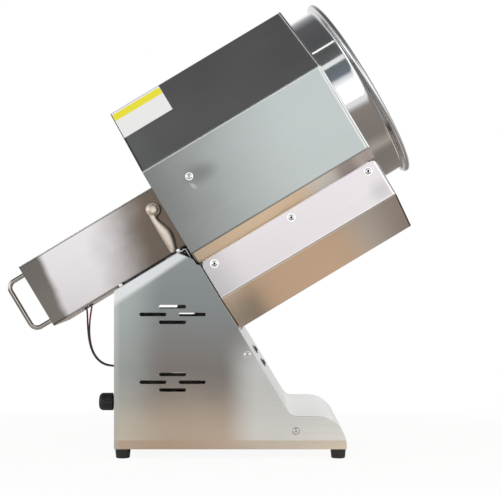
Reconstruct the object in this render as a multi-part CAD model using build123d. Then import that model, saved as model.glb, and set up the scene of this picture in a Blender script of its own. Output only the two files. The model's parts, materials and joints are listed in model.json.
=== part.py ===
from build123d import *
import os
from math import acos, cos, pi, radians, sin, tan

# Electric nut roaster with a tipping head. Millimetres, +Z up, +X towards the drum's mouth.
# Most pieces are drawn in the head's own frame: x along the drum's axis from the hood's rear
# face, y across, z square to the axis. HEAD puts them in their place over the pedestal.

# Attitude of the head at rest
AXIS_TILT = 31.0
AXIS_X = -76.1
AXIS_Z = 407.7

# Sheet metal and clearances
SHEET = 1.5
BEND = 2.0
GAP = 0.3
RUN = 0.05
CUT = 1.0

# Hood
HOOD_LENGTH = 327.0
HOOD_TOP_HALF = 70.0
HOOD_SHOULDER = 52.0
HOOD_HALF = 181.0
HOOD_SIDE_ROOM = 29.0
HOOD_TOP_ROOM = 18.5
HOOD_LOW = -98.0
LIP_RUN = 18.5
HOOD_TAB = 24.0
HOOD_TAB_SETBACK = 12.0
FRONT_PLATE_SETBACK = 6.0
HOOD_SCREW_X = 60.0
HOOD_SCREW_Z = 8.0

# Heater tray under the hood
TRAY_REAR = 4.0
TRAY_FRONT_SETBACK = 0.5
FLANGE_DEPTH = 65.0
FLANGE_CORNER = 10.0
TRAY_BOTTOM = -241.0
TRAY_BOTTOM_HALF = 110.0
TRAY_SCREW_DROP = 12.0
TRAY_SCREW_REAR = 19.0
TRAY_SCREW_FRONT = 20.0

# Heating tubes and what holds them
TUBE_R = 4.0
TUBE_Z = -200.0
TUBE_CENTRES = (-80.0, 0.0, 80.0)
TUBE_LEG = 15.0
TUBE_END_ROOM = 34.0
TUBE_BEND = 12.0
TERMINAL_PLATE_X = 22.0
TERMINAL_PLATE_TOP = -165.0
TERMINAL_R = 6.5
TERMINAL_LENGTH = 9.0
TUBE_SUPPORTS = 2
TUBE_SUPPORT_SHEET = 2.0
INSULATION_DEPTH = 14.0
INSULATION_END_ROOM = 18.0
PROBE_R = 2.5
PROBE_INSET = 49.0
PROBE_Z = -190.0
PROBE_LENGTH = 70.0

# Drum
DRUM_WALL = 1.2
DRUM_REAR = 14.0
DRUM_STAND = 54.0
RIM_BEAD_R = 4.5
RIM_STAND = 5.5
MOUTH_GAP = 4.0
REAR_DISC = 2.0
FLIGHT_COUNT = 4
FLIGHT_HEIGHT = 22.0
FLIGHT_START = 40.0
FLIGHT_LENGTH = 260.0
FLIGHT_SHEET = 1.5
SHAFT_R = 10.0
SHAFT_ROOM = 4.0
HUB_R = 40.0
HUB_FLANGE = 8.0
HUB_BOSS_R = 18.0
HUB_BOSS = 14.0
BEARING_R = 24.0
BEARING_LENGTH = 20.0
BEARING_FLANGE = 6.0
BEARING_FLANGE_HALF = 40.0
COUPLING_R = 16.0
COUPLING_REAR = -64.0
COUPLING_FRONT = -32.0
SHAFT_JOINT_X = -48.0

# Motor box and gear motor
BOX_LENGTH = 255.0
BOX_HALF = 100.0
BOX_TOP = 30.0
BOX_BOTTOM = -82.0
MOTOR_HALF = 45.0
MOTOR_DROP = 18.0
GEARHEAD_FRONT = -72.0
GEARHEAD_LENGTH = 60.0
GEARHEAD_WALL = 6.0
FAN_ROOM = 7.5
MOTOR_WALL = 6.0
MOTOR_BORE_R = 38.0
FAN_COVER_DEPTH = 14.0
OUTPUT_R = 7.5
ROTOR_SHAFT_R = 4.0
ROTOR_CORE_R = 33.0
ROTOR_END_ROOM = 12.0
GEAR_MODULE = 1.0
GEAR_TEETH = 26
PINION_TEETH = 10
GEAR_WIDTH = 12.0
GEAR_BACKLASH = 0.3
GEAR_SETBACK = 8.0
GEAR_ADDENDUM = 0.6
PINION_ADDENDUM = 0.8
DEDENDUM = 1.1
PRESSURE_ANGLE = 20.0
GEAR_TAIL = 4.0
FAN_BLADES = 7
FAN_R = 36.0
FAN_HUB_R = 10.0
FAN_DEPTH = 8.0
FAN_HOLES = 8
MOTOR_RIBS = 7
RIB_PITCH = 10.0
RIB_GROOVE = 4.0
RIB_DEPTH = 3.0
BRACKET_SHEET = 4.0
BRACKET_FOOT = 38.0
BRACKET_MARGIN = 5.0
COUPLING_ROOM = 2.0
CRADLE_INSET = 10.0
CRADLE_WIDTH = 12.0
CAPACITOR_R = 17.0
CAPACITOR_LENGTH = 62.0
CAPACITOR_X = -190.0
CAPACITOR_ROOM = 9.5
TAG_LENGTH = 8.0
TAG_HALF = 5.0
TAG_SHEET = 2.0

# Handle on the motor box's rear plate
HANDLE_R = 4.0
HANDLE_SPAN = 90.0
HANDLE_RAISE = 2.0
HANDLE_REACH = 47.0
HANDLE_BEND = 13.0
HANDLE_COLLAR_R = 7.0
HANDLE_COLLAR = 3.0

# Pedestal
PED_FLANGE_STAND = 3.5
PED_TOP = -85.0
PED_FRONT = 2.5
PED_BACK = -148.2
PED_BAND = 15.0
PED_BAND_LEAN = 2.2
PED_CROWN_X = -18.0
PED_HOOD_CLEAR = 2.0
PED_REAR_CORNER = 5.0
PED_CROWN_CORNER = 6.0
PED_NECK = 10.0
PANEL_DROP = 4.0
FOOT_HEIGHT = 15.0
FOOT_R = 12.5
FOOT_LOW_R = 11.0
FOOT_INSET = 13.0
TOE_TOP = 67.2
TOE_END = 219.7
TOE_COVE = 20.0
TOE_NOSE = 48.0
VENT_X = -55.6
VENT_HEIGHTS = (228.0, 121.0)
VENT_LENGTH = 43.0
VENT_WIDTH = 5.5
VENT_RISE = 12.3
VENT_REACH = 31.0
SIDE_SCREWS = ((62.8, 163.9), (139.4, 43.9))
TOP_BOLT_PLACES = (-16.0, -124.0)
TOP_BOLT_INSET = 34.5
TOP_PLATE_FRONT = -3.5
TOP_PLATE_SKIRT = 40.0
BUMPER_R = 8.0
BUMPER_X = -112.0
BUMPER_Y = 60.0

# Tipping hinges
KNUCKLE_R = 4.5
HINGE_PIN_R = 2.5
HINGE_CENTRES = (-68.0, 68.0)
HINGE_WIDTH = 54.0
HINGE_LEAF = 2.0
HINGE_LEAF_LENGTH = 26.0
PIVOT_RISE = 1.0

# Clamp lever and its bracket
LEVER_X = -19.0
LEVER_Z = -3.5
LEVER_HUB_R = 12.0
LEVER_HUB = 17.0
LEVER_LENGTH = 77.5
LEVER_THICKNESS = 9.0
# Share of the lever's length, with the arm's middle and half-width there
LEVER_STATIONS = (
    (0.06, -4.0, 6.5), (0.22, -7.0, 5.8), (0.36, -6.0, 7.6), (0.53, -4.4, 9.8),
    (0.70, -4.9, 9.4), (0.84, -6.4, 7.6), (0.95, -7.6, 5.6),
)
STUD_R = 5.0
STUD_COLLAR_R = 9.0
WASHER_R = 11.0
WASHER = 1.5
CLAMP_SHEET = 5.0
CLAMP_INSET = 8.0
CLAMP_ROOM = 2.0
CLAMP_REAR = -44.0
CLAMP_FRONT = -9.0
CLAMP_TOP = 14.0
CLAMP_FOOT = 26.0
CLAMP_NUT = 8.0
CLAMP_SWEEP_END = -208.0

# Electrical fittings of the pedestal
GLAND_INSET = 32.5
GLAND_Z = 87.0
GLAND_R = 14.0
GLAND_LENGTH = 22.0
GLAND_BORE_R = 5.0
GLAND_FLANGE_R = 15.0
GLAND_FLANGE = 2.5
GLAND_NECK_R = 9.0
GLAND_NECK = 2.0
GLAND_TAIL = 8.0
GLAND_RIBS = 10
GLAND_GROOVE_R = 2.0
GLAND_RIB_LENGTH = 13.0
LOCKNUT = 5.0
SWITCH_PLACES = (-289.0, -315.0)
SWITCH_HALF_Y = 10.5
SWITCH_HALF_Z = 7.5
SWITCH_BEZEL = 1.6
SWITCH_RIM = 1.6
SWITCH_DEPTH = 20.0
SWITCH_WALL = 1.2
ROCKER_TURN = 10.0
ROCKER_DEPTH = 4.0
ROCKER_RISE = 2.8
ROCKER_DISH = 1.4
KNOB_X = 8.0
KNOB_Z = 175.0
KNOB_R = 19.0
KNOB_DEPTH = 12.0
KNOB_DIAL_R = 26.0
KNOB_DIAL = 1.5
KNOB_FLUTES = 12
KNOB_FLUTE_R = 2.5
KNOB_FLUTE_STAND = 1.5
KNOB_SKIRT = 3.0
POINTER_HALF = 1.2
POINTER_RISE = 1.5
POINTER_INSET = 4.0
THERMOSTAT_HALF = 20.0
THERMOSTAT_DEPTH = 32.0
SPINDLE_R = 3.0
SPINDLE_DEPTH = 5.0
SPINDLE_ROOM = 2.0
TERMINAL_BLOCK = (70.0, 30.0, 18.0)
TERMINAL_BLOCK_AT = (-60.0, 40.0)
TERMINAL_WAYS = 6
TERMINAL_WELL = 6.0
GROMMET = 2.0
GROMMET_R = 4.0
WALL_GROMMET_R = 7.0

# Wires between the motor box and the pedestal, as points in the row's frame
WIRE_D = 2.9
BLUE_ROUTE = (
    (-204.5, -50.0, 231.8), (-203.5, -50.0, 221.0), (-203.0, -50.0, 205.0), (-201.5, -50.0, 185.0),
    (-197.6, -50.0, 166.0), (-189.6, -50.0, 150.5), (-177.6, -50.0, 140.2), (-163.1, -50.0, 136.9),
    (-150.4, -50.0, 136.6),
)
RED_ROUTE = (
    (-195.9, -53.4, 236.5), (-197.8, -53.4, 225.5), (-200.2, -53.4, 208.5), (-200.4, -53.4, 187.5),
    (-197.0, -53.4, 167.0), (-189.2, -53.4, 151.2), (-177.2, -53.4, 140.8), (-162.9, -53.4, 137.3),
    (-150.4, -53.4, 136.6),
)

# Small fasteners
SCREW_R = 4.3
SCREW_HEAD = 2.4
SCREW_SHANK_R = 2.4
SCREW_SHANK = 5.0
SCREW_SOCKET_R = 1.5
SCREW_WASHER_R = 6.0
SCREW_WASHER = 0.8
HEX_R = 5.6
HEX_HEAD = 5.0
HEX_WASHER_R = 7.6

# Places that follow from the sizes above
COS = cos(radians(AXIS_TILT))
SIN = sin(radians(AXIS_TILT))
HEAD = Location((AXIS_X, 0, AXIS_Z), (0, -AXIS_TILT, 0))
DRUM_R = HOOD_HALF - HOOD_SIDE_ROOM
DRUM_FRONT = HOOD_LENGTH + DRUM_STAND
HOOD_TOP = DRUM_R + HOOD_TOP_ROOM
TAB_Y = HOOD_HALF - LIP_RUN
LIP_Z = HOOD_LOW - LIP_RUN
FLANGE_HALF = TAB_Y + SHEET
FLANGE_TOP = LIP_Z - BEND / 2 - GAP
FLANGE_LOW = FLANGE_TOP - FLANGE_DEPTH
TRAY_FLOOR = TRAY_BOTTOM + SHEET
PROBE_Y = FLANGE_HALF - PROBE_INSET
TRAY_FRONT = HOOD_LENGTH - TRAY_FRONT_SETBACK
TUBE_FRONT = TRAY_FRONT - TUBE_END_ROOM
INSULATION_END = TRAY_FRONT - INSULATION_END_ROOM
BOX_FLOOR = BOX_BOTTOM + SHEET
BOX_REAR = -BOX_LENGTH
BOX_MIDDLE = (BOX_TOP + BOX_BOTTOM) / 2
MOTOR_Z = -MOTOR_DROP
GEARHEAD_REAR = GEARHEAD_FRONT - GEARHEAD_LENGTH
FAN_REAR = BOX_REAR + SHEET + FAN_ROOM
MOTOR_REAR = FAN_REAR + FAN_COVER_DEPTH
GEAR_X = GEARHEAD_FRONT - GEARHEAD_WALL - GEAR_SETBACK - GEAR_WIDTH
CAPACITOR_Y = BOX_HALF - SHEET - CAPACITOR_ROOM - CAPACITOR_R
CLAMP_Y = CLAMP_INSET - BOX_HALF
PIVOT_X = (PED_FRONT + TRAY_REAR) / 2
PIVOT_Z = TRAY_BOTTOM + PIVOT_RISE
PED_HALF = FLANGE_HALF + PED_FLANGE_STAND
PED_INNER = PED_HALF - SHEET
TOP_BOLT_Y = PED_HALF - TOP_BOLT_INSET
GLAND_Y = GLAND_INSET - PED_HALF
PANEL_BACK = PED_FRONT - SHEET
PANEL_TOP = LIP_Z - PANEL_DROP


def world(x, z):
    """Row X and Z of a point of the head's frame."""
    return (AXIS_X + x * COS - z * SIN, AXIS_Z + x * SIN + z * COS)


def polygon(points):
    """Flat face on XY with straight sides."""
    return make_face(Polyline(*points, close=True).edges())


def along(face, start, length):
    """Section in (y, z) drawn out along x."""
    return extrude(Plane.YZ.offset(start) * face, amount=length, dir=(1, 0, 0))


def across(face, start, length):
    """Outline in (x, z) drawn out along y."""
    return extrude(Plane.XZ.offset(-start) * face, amount=length, dir=(0, 1, 0))


def block(x, y, z):
    """Box between pairs of x, y and z."""
    size = (x[1] - x[0], y[1] - y[0], z[1] - z[0])
    return Solid.make_box(*size, Plane((x[0], y[0], z[0])))


def rod(start, end, radius):
    """Round bar between two points."""
    line = Vector(*end) - Vector(*start)
    return Solid.make_cylinder(radius, line.length, Plane(origin=start, z_dir=line))


def shaft(x, radius, y=0.0, z=0.0):
    """Round bar along x between a pair of x."""
    return rod((x[0], y, z), (x[1], y, z), radius)


def bent_sheet(points, thickness=SHEET, bend=BEND):
    """Section of a bent sheet. The line is one face and the sheet lies to the left of it."""
    line = [Vector(*point) for point in points]
    offset_line = []
    line_radii = []
    offset_radii = []
    for i, point in enumerate(line):
        ahead = (line[min(i + 1, len(line) - 1)] - line[min(i, len(line) - 2)]).normalized()
        behind = (line[max(i, 1)] - line[max(i - 1, 0)]).normalized()
        left_ahead = Vector(-ahead.Y, ahead.X)
        left_behind = Vector(-behind.Y, behind.X)
        mitre = thickness / (1 + left_ahead.dot(left_behind))
        offset_line.append(point + (left_ahead + left_behind) * mitre)
        turns_left = behind.X * ahead.Y > behind.Y * ahead.X
        line_radii.append(bend + thickness if turns_left else bend)
        offset_radii.append(bend if turns_left else bend + thickness)
    face_a = FilletPolyline(*line, radius=line_radii[1:-1])
    face_b = FilletPolyline(*offset_line, radius=offset_radii[1:-1])
    ends = [Line(line[0], offset_line[0]), Line(line[-1], offset_line[-1])]
    return make_face([*face_a.edges(), *face_b.edges(), *ends])


def pan_screw(at, direction, washer=True):
    """Pan-head socket screw with its seat at a point and its head pointing along a direction."""
    lift = SCREW_WASHER if washer else 0.0
    head = Pos(0, 0, lift) * Solid.make_cylinder(SCREW_R, SCREW_HEAD)
    head = fillet(head.edges().sort_by(Axis.Z)[-1], SCREW_HEAD / 2)
    socket = extrude(RegularPolygon(SCREW_SOCKET_R, 6), amount=SCREW_HEAD)
    screw = head - Pos(0, 0, lift + SCREW_HEAD / 2) * socket
    screw += Pos(0, 0, -SCREW_SHANK) * Solid.make_cylinder(SCREW_SHANK_R, SCREW_SHANK + lift)
    if washer:
        screw += Solid.make_cylinder(SCREW_WASHER_R, SCREW_WASHER)
    return Plane(origin=at, z_dir=direction).location * screw


def screw_hole(at, direction, depth=3 * SHEET):
    """Clearance hole for a screw, cut both ways from its seat."""
    reach = Vector(*direction).normalized() * depth
    return rod(Vector(*at) - reach, Vector(*at) + reach, SCREW_SHANK_R + RUN)


def hex_bolt(at, direction, shank):
    """Hexagon bolt with its seat at a point and its head pointing along a direction."""
    head = extrude(RegularPolygon(HEX_R, 6), amount=HEX_HEAD)
    washer = Solid.make_cylinder(HEX_WASHER_R, SCREW_WASHER)
    bolt = Pos(0, 0, SCREW_WASHER) * head + washer
    bolt += Pos(0, 0, -shank) * Solid.make_cylinder(SCREW_SHANK_R, shank)
    return Plane(origin=at, z_dir=direction).location * bolt


def involute_gear(teeth, addendum, turn):
    """Spur gear face on XY, with a tooth pointing at an angle given in radians."""
    pitch_r = GEAR_MODULE * teeth / 2
    base_r = pitch_r * cos(radians(PRESSURE_ANGLE))
    tip_r = pitch_r + addendum * GEAR_MODULE
    root_r = pitch_r - DEDENDUM * GEAR_MODULE

    def involute(radius):
        angle = acos(min(1.0, base_r / radius))
        return tan(angle) - angle

    half_at_pitch = pi / (2 * teeth) - GEAR_BACKLASH / (4 * pitch_r)
    low_r = max(root_r, base_r)
    flank_radii = [low_r + (tip_r - low_r) * step / 4 for step in range(5)]
    flank = [(r, half_at_pitch + involute(pitch_r) - involute(r)) for r in flank_radii]
    points = []
    for tooth in range(teeth):
        middle = turn + 2 * pi * tooth / teeth
        side = [(root_r, flank[0][1])] if root_r < low_r else []
        side += flank
        points += [(r * cos(middle - half), r * sin(middle - half)) for r, half in side]
        points += [(r * cos(middle + half), r * sin(middle + half)) for r, half in reversed(side)]
    return polygon(points)


# Head: hood, plates and tray

def hood_line():
    """Outer line of the hood's section, from the right tab over the top to the left tab."""
    right = [
        (TAB_Y, LIP_Z - HOOD_TAB),
        (TAB_Y, LIP_Z),
        (HOOD_HALF, HOOD_LOW),
        (HOOD_HALF, HOOD_SHOULDER),
        (HOOD_TOP_HALF, HOOD_TOP),
    ]
    return right + [(-y, z) for y, z in reversed(right)]


def tray_screw_seats():
    """Seats of the tray's screws, with the way their heads point."""
    height = FLANGE_TOP - TRAY_SCREW_DROP
    rear = TRAY_REAR + TRAY_SCREW_REAR
    front = TRAY_FRONT - TRAY_SCREW_FRONT
    return [
        ((place, side * FLANGE_HALF, height), (0, side, 0))
        for side in (-1, 1)
        for place in (rear, (rear + front) / 2, front)
    ]


def hood_screw_seats():
    """Seats of the screw in each side of the hood."""
    return [((HOOD_SCREW_X, side * HOOD_HALF, HOOD_SCREW_Z), (0, side, 0)) for side in (-1, 1)]


def hood_shell():
    shell = along(bent_sheet(hood_line()), 0, HOOD_LENGTH)
    for ends in ((-CUT, HOOD_TAB_SETBACK), (HOOD_LENGTH - HOOD_TAB_SETBACK, HOOD_LENGTH + CUT)):
        shell -= block(ends, (-HOOD_HALF, HOOD_HALF), (LIP_Z - HOOD_TAB - CUT, LIP_Z))
    for seat, way in tray_screw_seats() + hood_screw_seats():
        shell -= screw_hole(seat, way)
    return shell


def hood_inside():
    """Face that fills the hood's section inside its sheet, down to the lips."""
    inset = SHEET + GAP
    lip_low = LIP_Z + 2 * SHEET
    rise = HOOD_TOP - HOOD_SHOULDER
    run = HOOD_HALF - HOOD_TOP_HALF
    slant = (rise ** 2 + run ** 2) ** 0.5
    right = [
        (HOOD_HALF - HOOD_LOW + lip_low - inset * 2 ** 0.5, lip_low),
        (HOOD_HALF - inset, HOOD_LOW + inset * tan(radians(22.5))),
        (HOOD_HALF - inset, HOOD_SHOULDER - inset * (slant - rise) / run),
        (HOOD_TOP_HALF - inset * (slant - run) / rise, HOOD_TOP - inset),
    ]
    return polygon(right + [(-y, z) for y, z in reversed(right)])


def hood_rear_plate():
    plate = along(hood_inside(), 0, SHEET)
    return plate - shaft((-CUT, SHEET + CUT), SHAFT_R + SHAFT_ROOM)


def hood_front_plate():
    start = HOOD_LENGTH - FRONT_PLATE_SETBACK - SHEET
    plate = along(hood_inside(), start, SHEET)
    return plate - shaft((start - CUT, start + SHEET + CUT), DRUM_R + MOUTH_GAP)


def heater_tray():
    left = [(-FLANGE_HALF, FLANGE_TOP), (-FLANGE_HALF, FLANGE_LOW), (-TRAY_BOTTOM_HALF, TRAY_BOTTOM)]
    line = left + [(-y, z) for y, z in reversed(left)]
    tray = along(bent_sheet(line), TRAY_REAR, TRAY_FRONT - TRAY_REAR)
    upper_corners = tray.edges().filter_by(Axis.Y).filter_by_position(Axis.Z, FLANGE_TOP, FLANGE_TOP)
    tray = fillet(upper_corners, FLANGE_CORNER)
    wall_line = [
        (-TAB_Y, FLANGE_TOP - FLANGE_CORNER),
        (-TAB_Y, FLANGE_LOW + SHEET / 2),
        (-TRAY_BOTTOM_HALF + SHEET / 2, TRAY_FLOOR - SHEET / 2),
    ]
    wall = polygon(wall_line + [(-y, z) for y, z in reversed(wall_line)])
    tray += along(wall, TRAY_REAR, SHEET)
    tray += along(wall, TRAY_FRONT - SHEET, SHEET)
    tray -= shaft((TRAY_FRONT - 2 * SHEET, TRAY_FRONT + CUT), DRUM_R + MOUTH_GAP)
    room = KNUCKLE_R + GAP
    for centre in HINGE_CENTRES:
        width = (centre - HINGE_WIDTH / 2 - GAP, centre + HINGE_WIDTH / 2 + GAP)
        tray -= block((TRAY_REAR - CUT, PIVOT_X + room), width, (TRAY_BOTTOM - CUT, PIVOT_Z + room + GAP))
    for seat, way in tray_screw_seats():
        tray -= screw_hole(seat, way)
    return tray


def casing_screws():
    tray = [pan_screw(seat, way) for seat, way in tray_screw_seats()]
    hood = [pan_screw(seat, way, washer=False) for seat, way in hood_screw_seats()]
    return tray + hood


# Heater inside the tray

def tube_legs():
    """y of each straight leg of the heating tubes."""
    return [centre + side * TUBE_LEG for centre in TUBE_CENTRES for side in (-1, 1)]


def tray_half_at(height):
    """Inside half-width of the tray at a height on its slanted walls."""
    share = (height - TRAY_BOTTOM) / (FLANGE_LOW - TRAY_BOTTOM)
    return TRAY_BOTTOM_HALF + (FLANGE_HALF - TRAY_BOTTOM_HALF) * min(1.0, share) - 2 * SHEET


def terminal_plate():
    low = tray_half_at(TRAY_FLOOR)
    high = tray_half_at(TERMINAL_PLATE_TOP)
    outline = [
        (-low, TRAY_FLOOR),
        (low, TRAY_FLOOR),
        (tray_half_at(FLANGE_LOW), FLANGE_LOW),
        (high, TERMINAL_PLATE_TOP),
        (-high, TERMINAL_PLATE_TOP),
        (-tray_half_at(FLANGE_LOW), FLANGE_LOW),
    ]
    plate = along(polygon(outline), TERMINAL_PLATE_X, TUBE_SUPPORT_SHEET)
    through = (TERMINAL_PLATE_X - CUT, TERMINAL_PLATE_X + TUBE_SUPPORT_SHEET + CUT)
    for leg in tube_legs():
        plate -= shaft(through, TUBE_R, leg, TUBE_Z)
    return plate - shaft(through, PROBE_R, PROBE_Y, PROBE_Z)


def heating_tube(centre):
    """Hairpin tube lying along the tray, open ends at the terminal plate."""
    path = FilletPolyline(
        (TERMINAL_PLATE_X, centre - TUBE_LEG, TUBE_Z),
        (TUBE_FRONT, centre - TUBE_LEG, TUBE_Z),
        (TUBE_FRONT, centre + TUBE_LEG, TUBE_Z),
        (TERMINAL_PLATE_X, centre + TUBE_LEG, TUBE_Z),
        radius=TUBE_BEND,
    )
    section = Plane(path @ 0, z_dir=path % 0) * Circle(TUBE_R)
    return sweep(section, path=path)


def heating_tubes():
    return [heating_tube(centre) for centre in TUBE_CENTRES]


def heater_terminals():
    ends = (TERMINAL_PLATE_X - TERMINAL_LENGTH, TERMINAL_PLATE_X)
    return [shaft(ends, TERMINAL_R, leg, TUBE_Z) for leg in tube_legs()]


def support_places():
    """x of the plates that carry the tubes, evenly spaced."""
    pitch = (TUBE_FRONT - TERMINAL_PLATE_X) / (TUBE_SUPPORTS + 1)
    return [TERMINAL_PLATE_X + pitch * (step + 1) for step in range(TUBE_SUPPORTS)]


def tube_supports():
    supports = []
    half = tray_half_at(TRAY_FLOOR) - SHEET
    reach = max(abs(leg) for leg in tube_legs()) + 2 * TUBE_R
    top = TUBE_Z + 2 * TUBE_R
    for place in support_places():
        outline = [(-half, TRAY_FLOOR), (half, TRAY_FLOOR), (reach, top), (-reach, top)]
        plate = along(polygon(outline), place, TUBE_SUPPORT_SHEET)
        for leg in tube_legs():
            plate -= shaft((place - CUT, place + TUBE_SUPPORT_SHEET + CUT), TUBE_R, leg, TUBE_Z)
        supports.append(plate)
    return supports


def insulation_mats():
    starts = [TERMINAL_PLATE_X + TUBE_SUPPORT_SHEET]
    starts += [place + TUBE_SUPPORT_SHEET for place in support_places()]
    ends = [*support_places(), INSULATION_END]
    half = tray_half_at(TRAY_FLOOR) - SHEET
    height = (TRAY_FLOOR, TRAY_FLOOR + INSULATION_DEPTH)
    mats = []
    for start, end in zip(starts, ends):
        mat = block((start + GAP, end - GAP), (-half, half), height)
        mats.append(fillet(mat.edges().filter_by(Axis.Z), BEND))
    return mats


def temperature_probe():
    tip = TERMINAL_PLATE_X + PROBE_LENGTH
    stem = shaft((TERMINAL_PLATE_X - TERMINAL_LENGTH, tip), PROBE_R, PROBE_Y, PROBE_Z)
    nut_face = Plane.YZ.offset(TERMINAL_PLATE_X + TUBE_SUPPORT_SHEET) * Pos(PROBE_Y, PROBE_Z)
    nut = extrude(nut_face * RegularPolygon(2 * PROBE_R, 6), amount=2 * PROBE_R, dir=(1, 0, 0))
    return stem + nut


# Drum and its drive

def drum_shell():
    ends = (DRUM_REAR, DRUM_FRONT)
    return shaft(ends, DRUM_R) - shaft((DRUM_REAR - CUT, DRUM_FRONT + CUT), DRUM_R - DRUM_WALL)


def drum_rim():
    bead = Pos(DRUM_FRONT, DRUM_R + RIM_STAND) * Circle(RIM_BEAD_R)
    web_end = DRUM_R + RIM_STAND
    web = polygon([
        (DRUM_FRONT, DRUM_R),
        (DRUM_FRONT, web_end),
        (DRUM_FRONT - DRUM_WALL, web_end),
        (DRUM_FRONT - RIM_STAND, DRUM_R),
    ])
    ring = Plane.XZ * (bead + web)
    return revolve(ring, Axis.X)


def drum_rear_disc():
    ends = (DRUM_REAR, DRUM_REAR + REAR_DISC)
    disc = shaft(ends, DRUM_R - DRUM_WALL)
    return disc - shaft((ends[0] - CUT, ends[1] + CUT), SHAFT_R)


def drum_flights():
    flights = []
    outer = DRUM_R - DRUM_WALL - RUN
    ends = (FLIGHT_START, FLIGHT_START + FLIGHT_LENGTH)
    for turn in range(FLIGHT_COUNT):
        blade = block(ends, (-FLIGHT_SHEET / 2, FLIGHT_SHEET / 2), (outer - FLIGHT_HEIGHT, outer))
        flights.append(Rot(45 + 360 * turn / FLIGHT_COUNT, 0, 0) * blade)
    return flights


def drum_hub():
    start = DRUM_REAR + REAR_DISC
    hub = shaft((start, start + HUB_FLANGE), HUB_R)
    hub += shaft((start, start + HUB_FLANGE + HUB_BOSS), HUB_BOSS_R)
    return hub - shaft((start - CUT, start + HUB_FLANGE + HUB_BOSS + CUT), SHAFT_R)


def drum_shaft():
    return shaft((SHAFT_JOINT_X, DRUM_REAR + REAR_DISC + HUB_FLANGE + HUB_BOSS), SHAFT_R)


def shaft_coupling():
    sleeve = shaft((COUPLING_REAR, COUPLING_FRONT), COUPLING_R)
    sleeve -= shaft((COUPLING_REAR - CUT, SHAFT_JOINT_X), OUTPUT_R)
    return sleeve - shaft((SHAFT_JOINT_X, COUPLING_FRONT + CUT), SHAFT_R)


def drum_bearing():
    half_y = BEARING_FLANGE_HALF
    half_z = BEARING_R + SHEET
    flange = block((-BEARING_FLANGE, 0), (-half_y, half_y), (-half_z, half_z))
    flange = fillet(flange.edges().filter_by(Axis.X), BEARING_R / 3)
    housing = flange + shaft((-BEARING_LENGTH, 0), BEARING_R)
    return housing - shaft((-BEARING_LENGTH - CUT, 1), SHAFT_R + RUN)


def output_gear():
    """Slow gear with its shaft. A gap between two teeth faces the pinion below."""
    face = involute_gear(GEAR_TEETH, GEAR_ADDENDUM, -pi / 2 + pi / GEAR_TEETH)
    return along(face, GEAR_X, GEAR_WIDTH) + shaft((GEAR_X - GEAR_TAIL, SHAFT_JOINT_X), OUTPUT_R)


def motor_rotor():
    """Rotor core, shaft and pinion. A pinion tooth points up at the slow gear."""
    pinion = Pos(0, MOTOR_Z) * involute_gear(PINION_TEETH, PINION_ADDENDUM, pi / 2)
    end_room = MOTOR_WALL + ROTOR_END_ROOM
    core = (MOTOR_REAR + end_room, GEARHEAD_REAR - end_room)
    rotor = shaft((FAN_REAR + 2 * SHEET, GEAR_X), ROTOR_SHAFT_R, 0, MOTOR_Z)
    rotor += along(pinion, GEAR_X, GEAR_WIDTH)
    return rotor + shaft(core, ROTOR_CORE_R, 0, MOTOR_Z)


def motor_fan():
    start = MOTOR_REAR - SHEET - FAN_DEPTH
    ends = (start, start + FAN_DEPTH)
    fan = shaft(ends, FAN_HUB_R)
    for turn in range(FAN_BLADES):
        blade = block(ends, (-SHEET / 2, SHEET / 2), (FAN_HUB_R / 2, FAN_R))
        fan += Rot(360 * turn / FAN_BLADES, 0, 0) * blade
    fan -= shaft((start - CUT, start + FAN_DEPTH + CUT), ROTOR_SHAFT_R)
    return Pos(0, 0, MOTOR_Z) * fan


def motor_square(x, half):
    """Square bar along x on the motor's own centre line."""
    bar = block(x, (-half, half), (MOTOR_Z - half, MOTOR_Z + half))
    return fillet(bar.edges().filter_by(Axis.X), half / 6)


def gearhead_case():
    case = motor_square((GEARHEAD_REAR, GEARHEAD_FRONT), MOTOR_HALF)
    hollow = MOTOR_HALF - GEARHEAD_WALL
    case -= motor_square((GEARHEAD_REAR - CUT, GEARHEAD_FRONT - GEARHEAD_WALL), hollow)
    return case - shaft((GEARHEAD_FRONT - 2 * GEARHEAD_WALL, GEARHEAD_FRONT + CUT), OUTPUT_R + RUN)


def motor_body():
    body = motor_square((MOTOR_REAR, GEARHEAD_REAR), MOTOR_HALF)
    body -= shaft((MOTOR_REAR + MOTOR_WALL, GEARHEAD_REAR - MOTOR_WALL), MOTOR_BORE_R, 0, MOTOR_Z)
    body -= shaft((MOTOR_REAR - CUT, GEARHEAD_REAR + CUT), ROTOR_SHAFT_R + RUN, 0, MOTOR_Z)
    rib_ends = (MOTOR_REAR + 2 * MOTOR_WALL, GEARHEAD_REAR - 2 * MOTOR_WALL)
    for rib in range(MOTOR_RIBS):
        centre = MOTOR_Z + RIB_PITCH * (rib - (MOTOR_RIBS - 1) / 2)
        groove = (centre - RIB_GROOVE / 2, centre + RIB_GROOVE / 2)
        for side in (-1, 1):
            depth = sorted((side * (MOTOR_HALF - RIB_DEPTH), side * (MOTOR_HALF + CUT)))
            body -= block(rib_ends, depth, groove)
    return body


def fan_cover():
    cover = motor_square((FAN_REAR, MOTOR_REAR), MOTOR_HALF)
    cover -= shaft((FAN_REAR + SHEET, MOTOR_REAR + CUT), MOTOR_HALF - 2 * SHEET, 0, MOTOR_Z)
    ring_r = (FAN_R + FAN_HUB_R) / 2
    for turn in range(FAN_HOLES):
        spot = Pos(0, 0, MOTOR_Z) * Rot(360 * turn / FAN_HOLES, 0, 0) * Pos(0, 0, ring_r)
        cover -= spot * shaft((FAN_REAR - CUT, FAN_REAR + 2 * SHEET), FAN_R / 6)
    return cover


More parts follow.
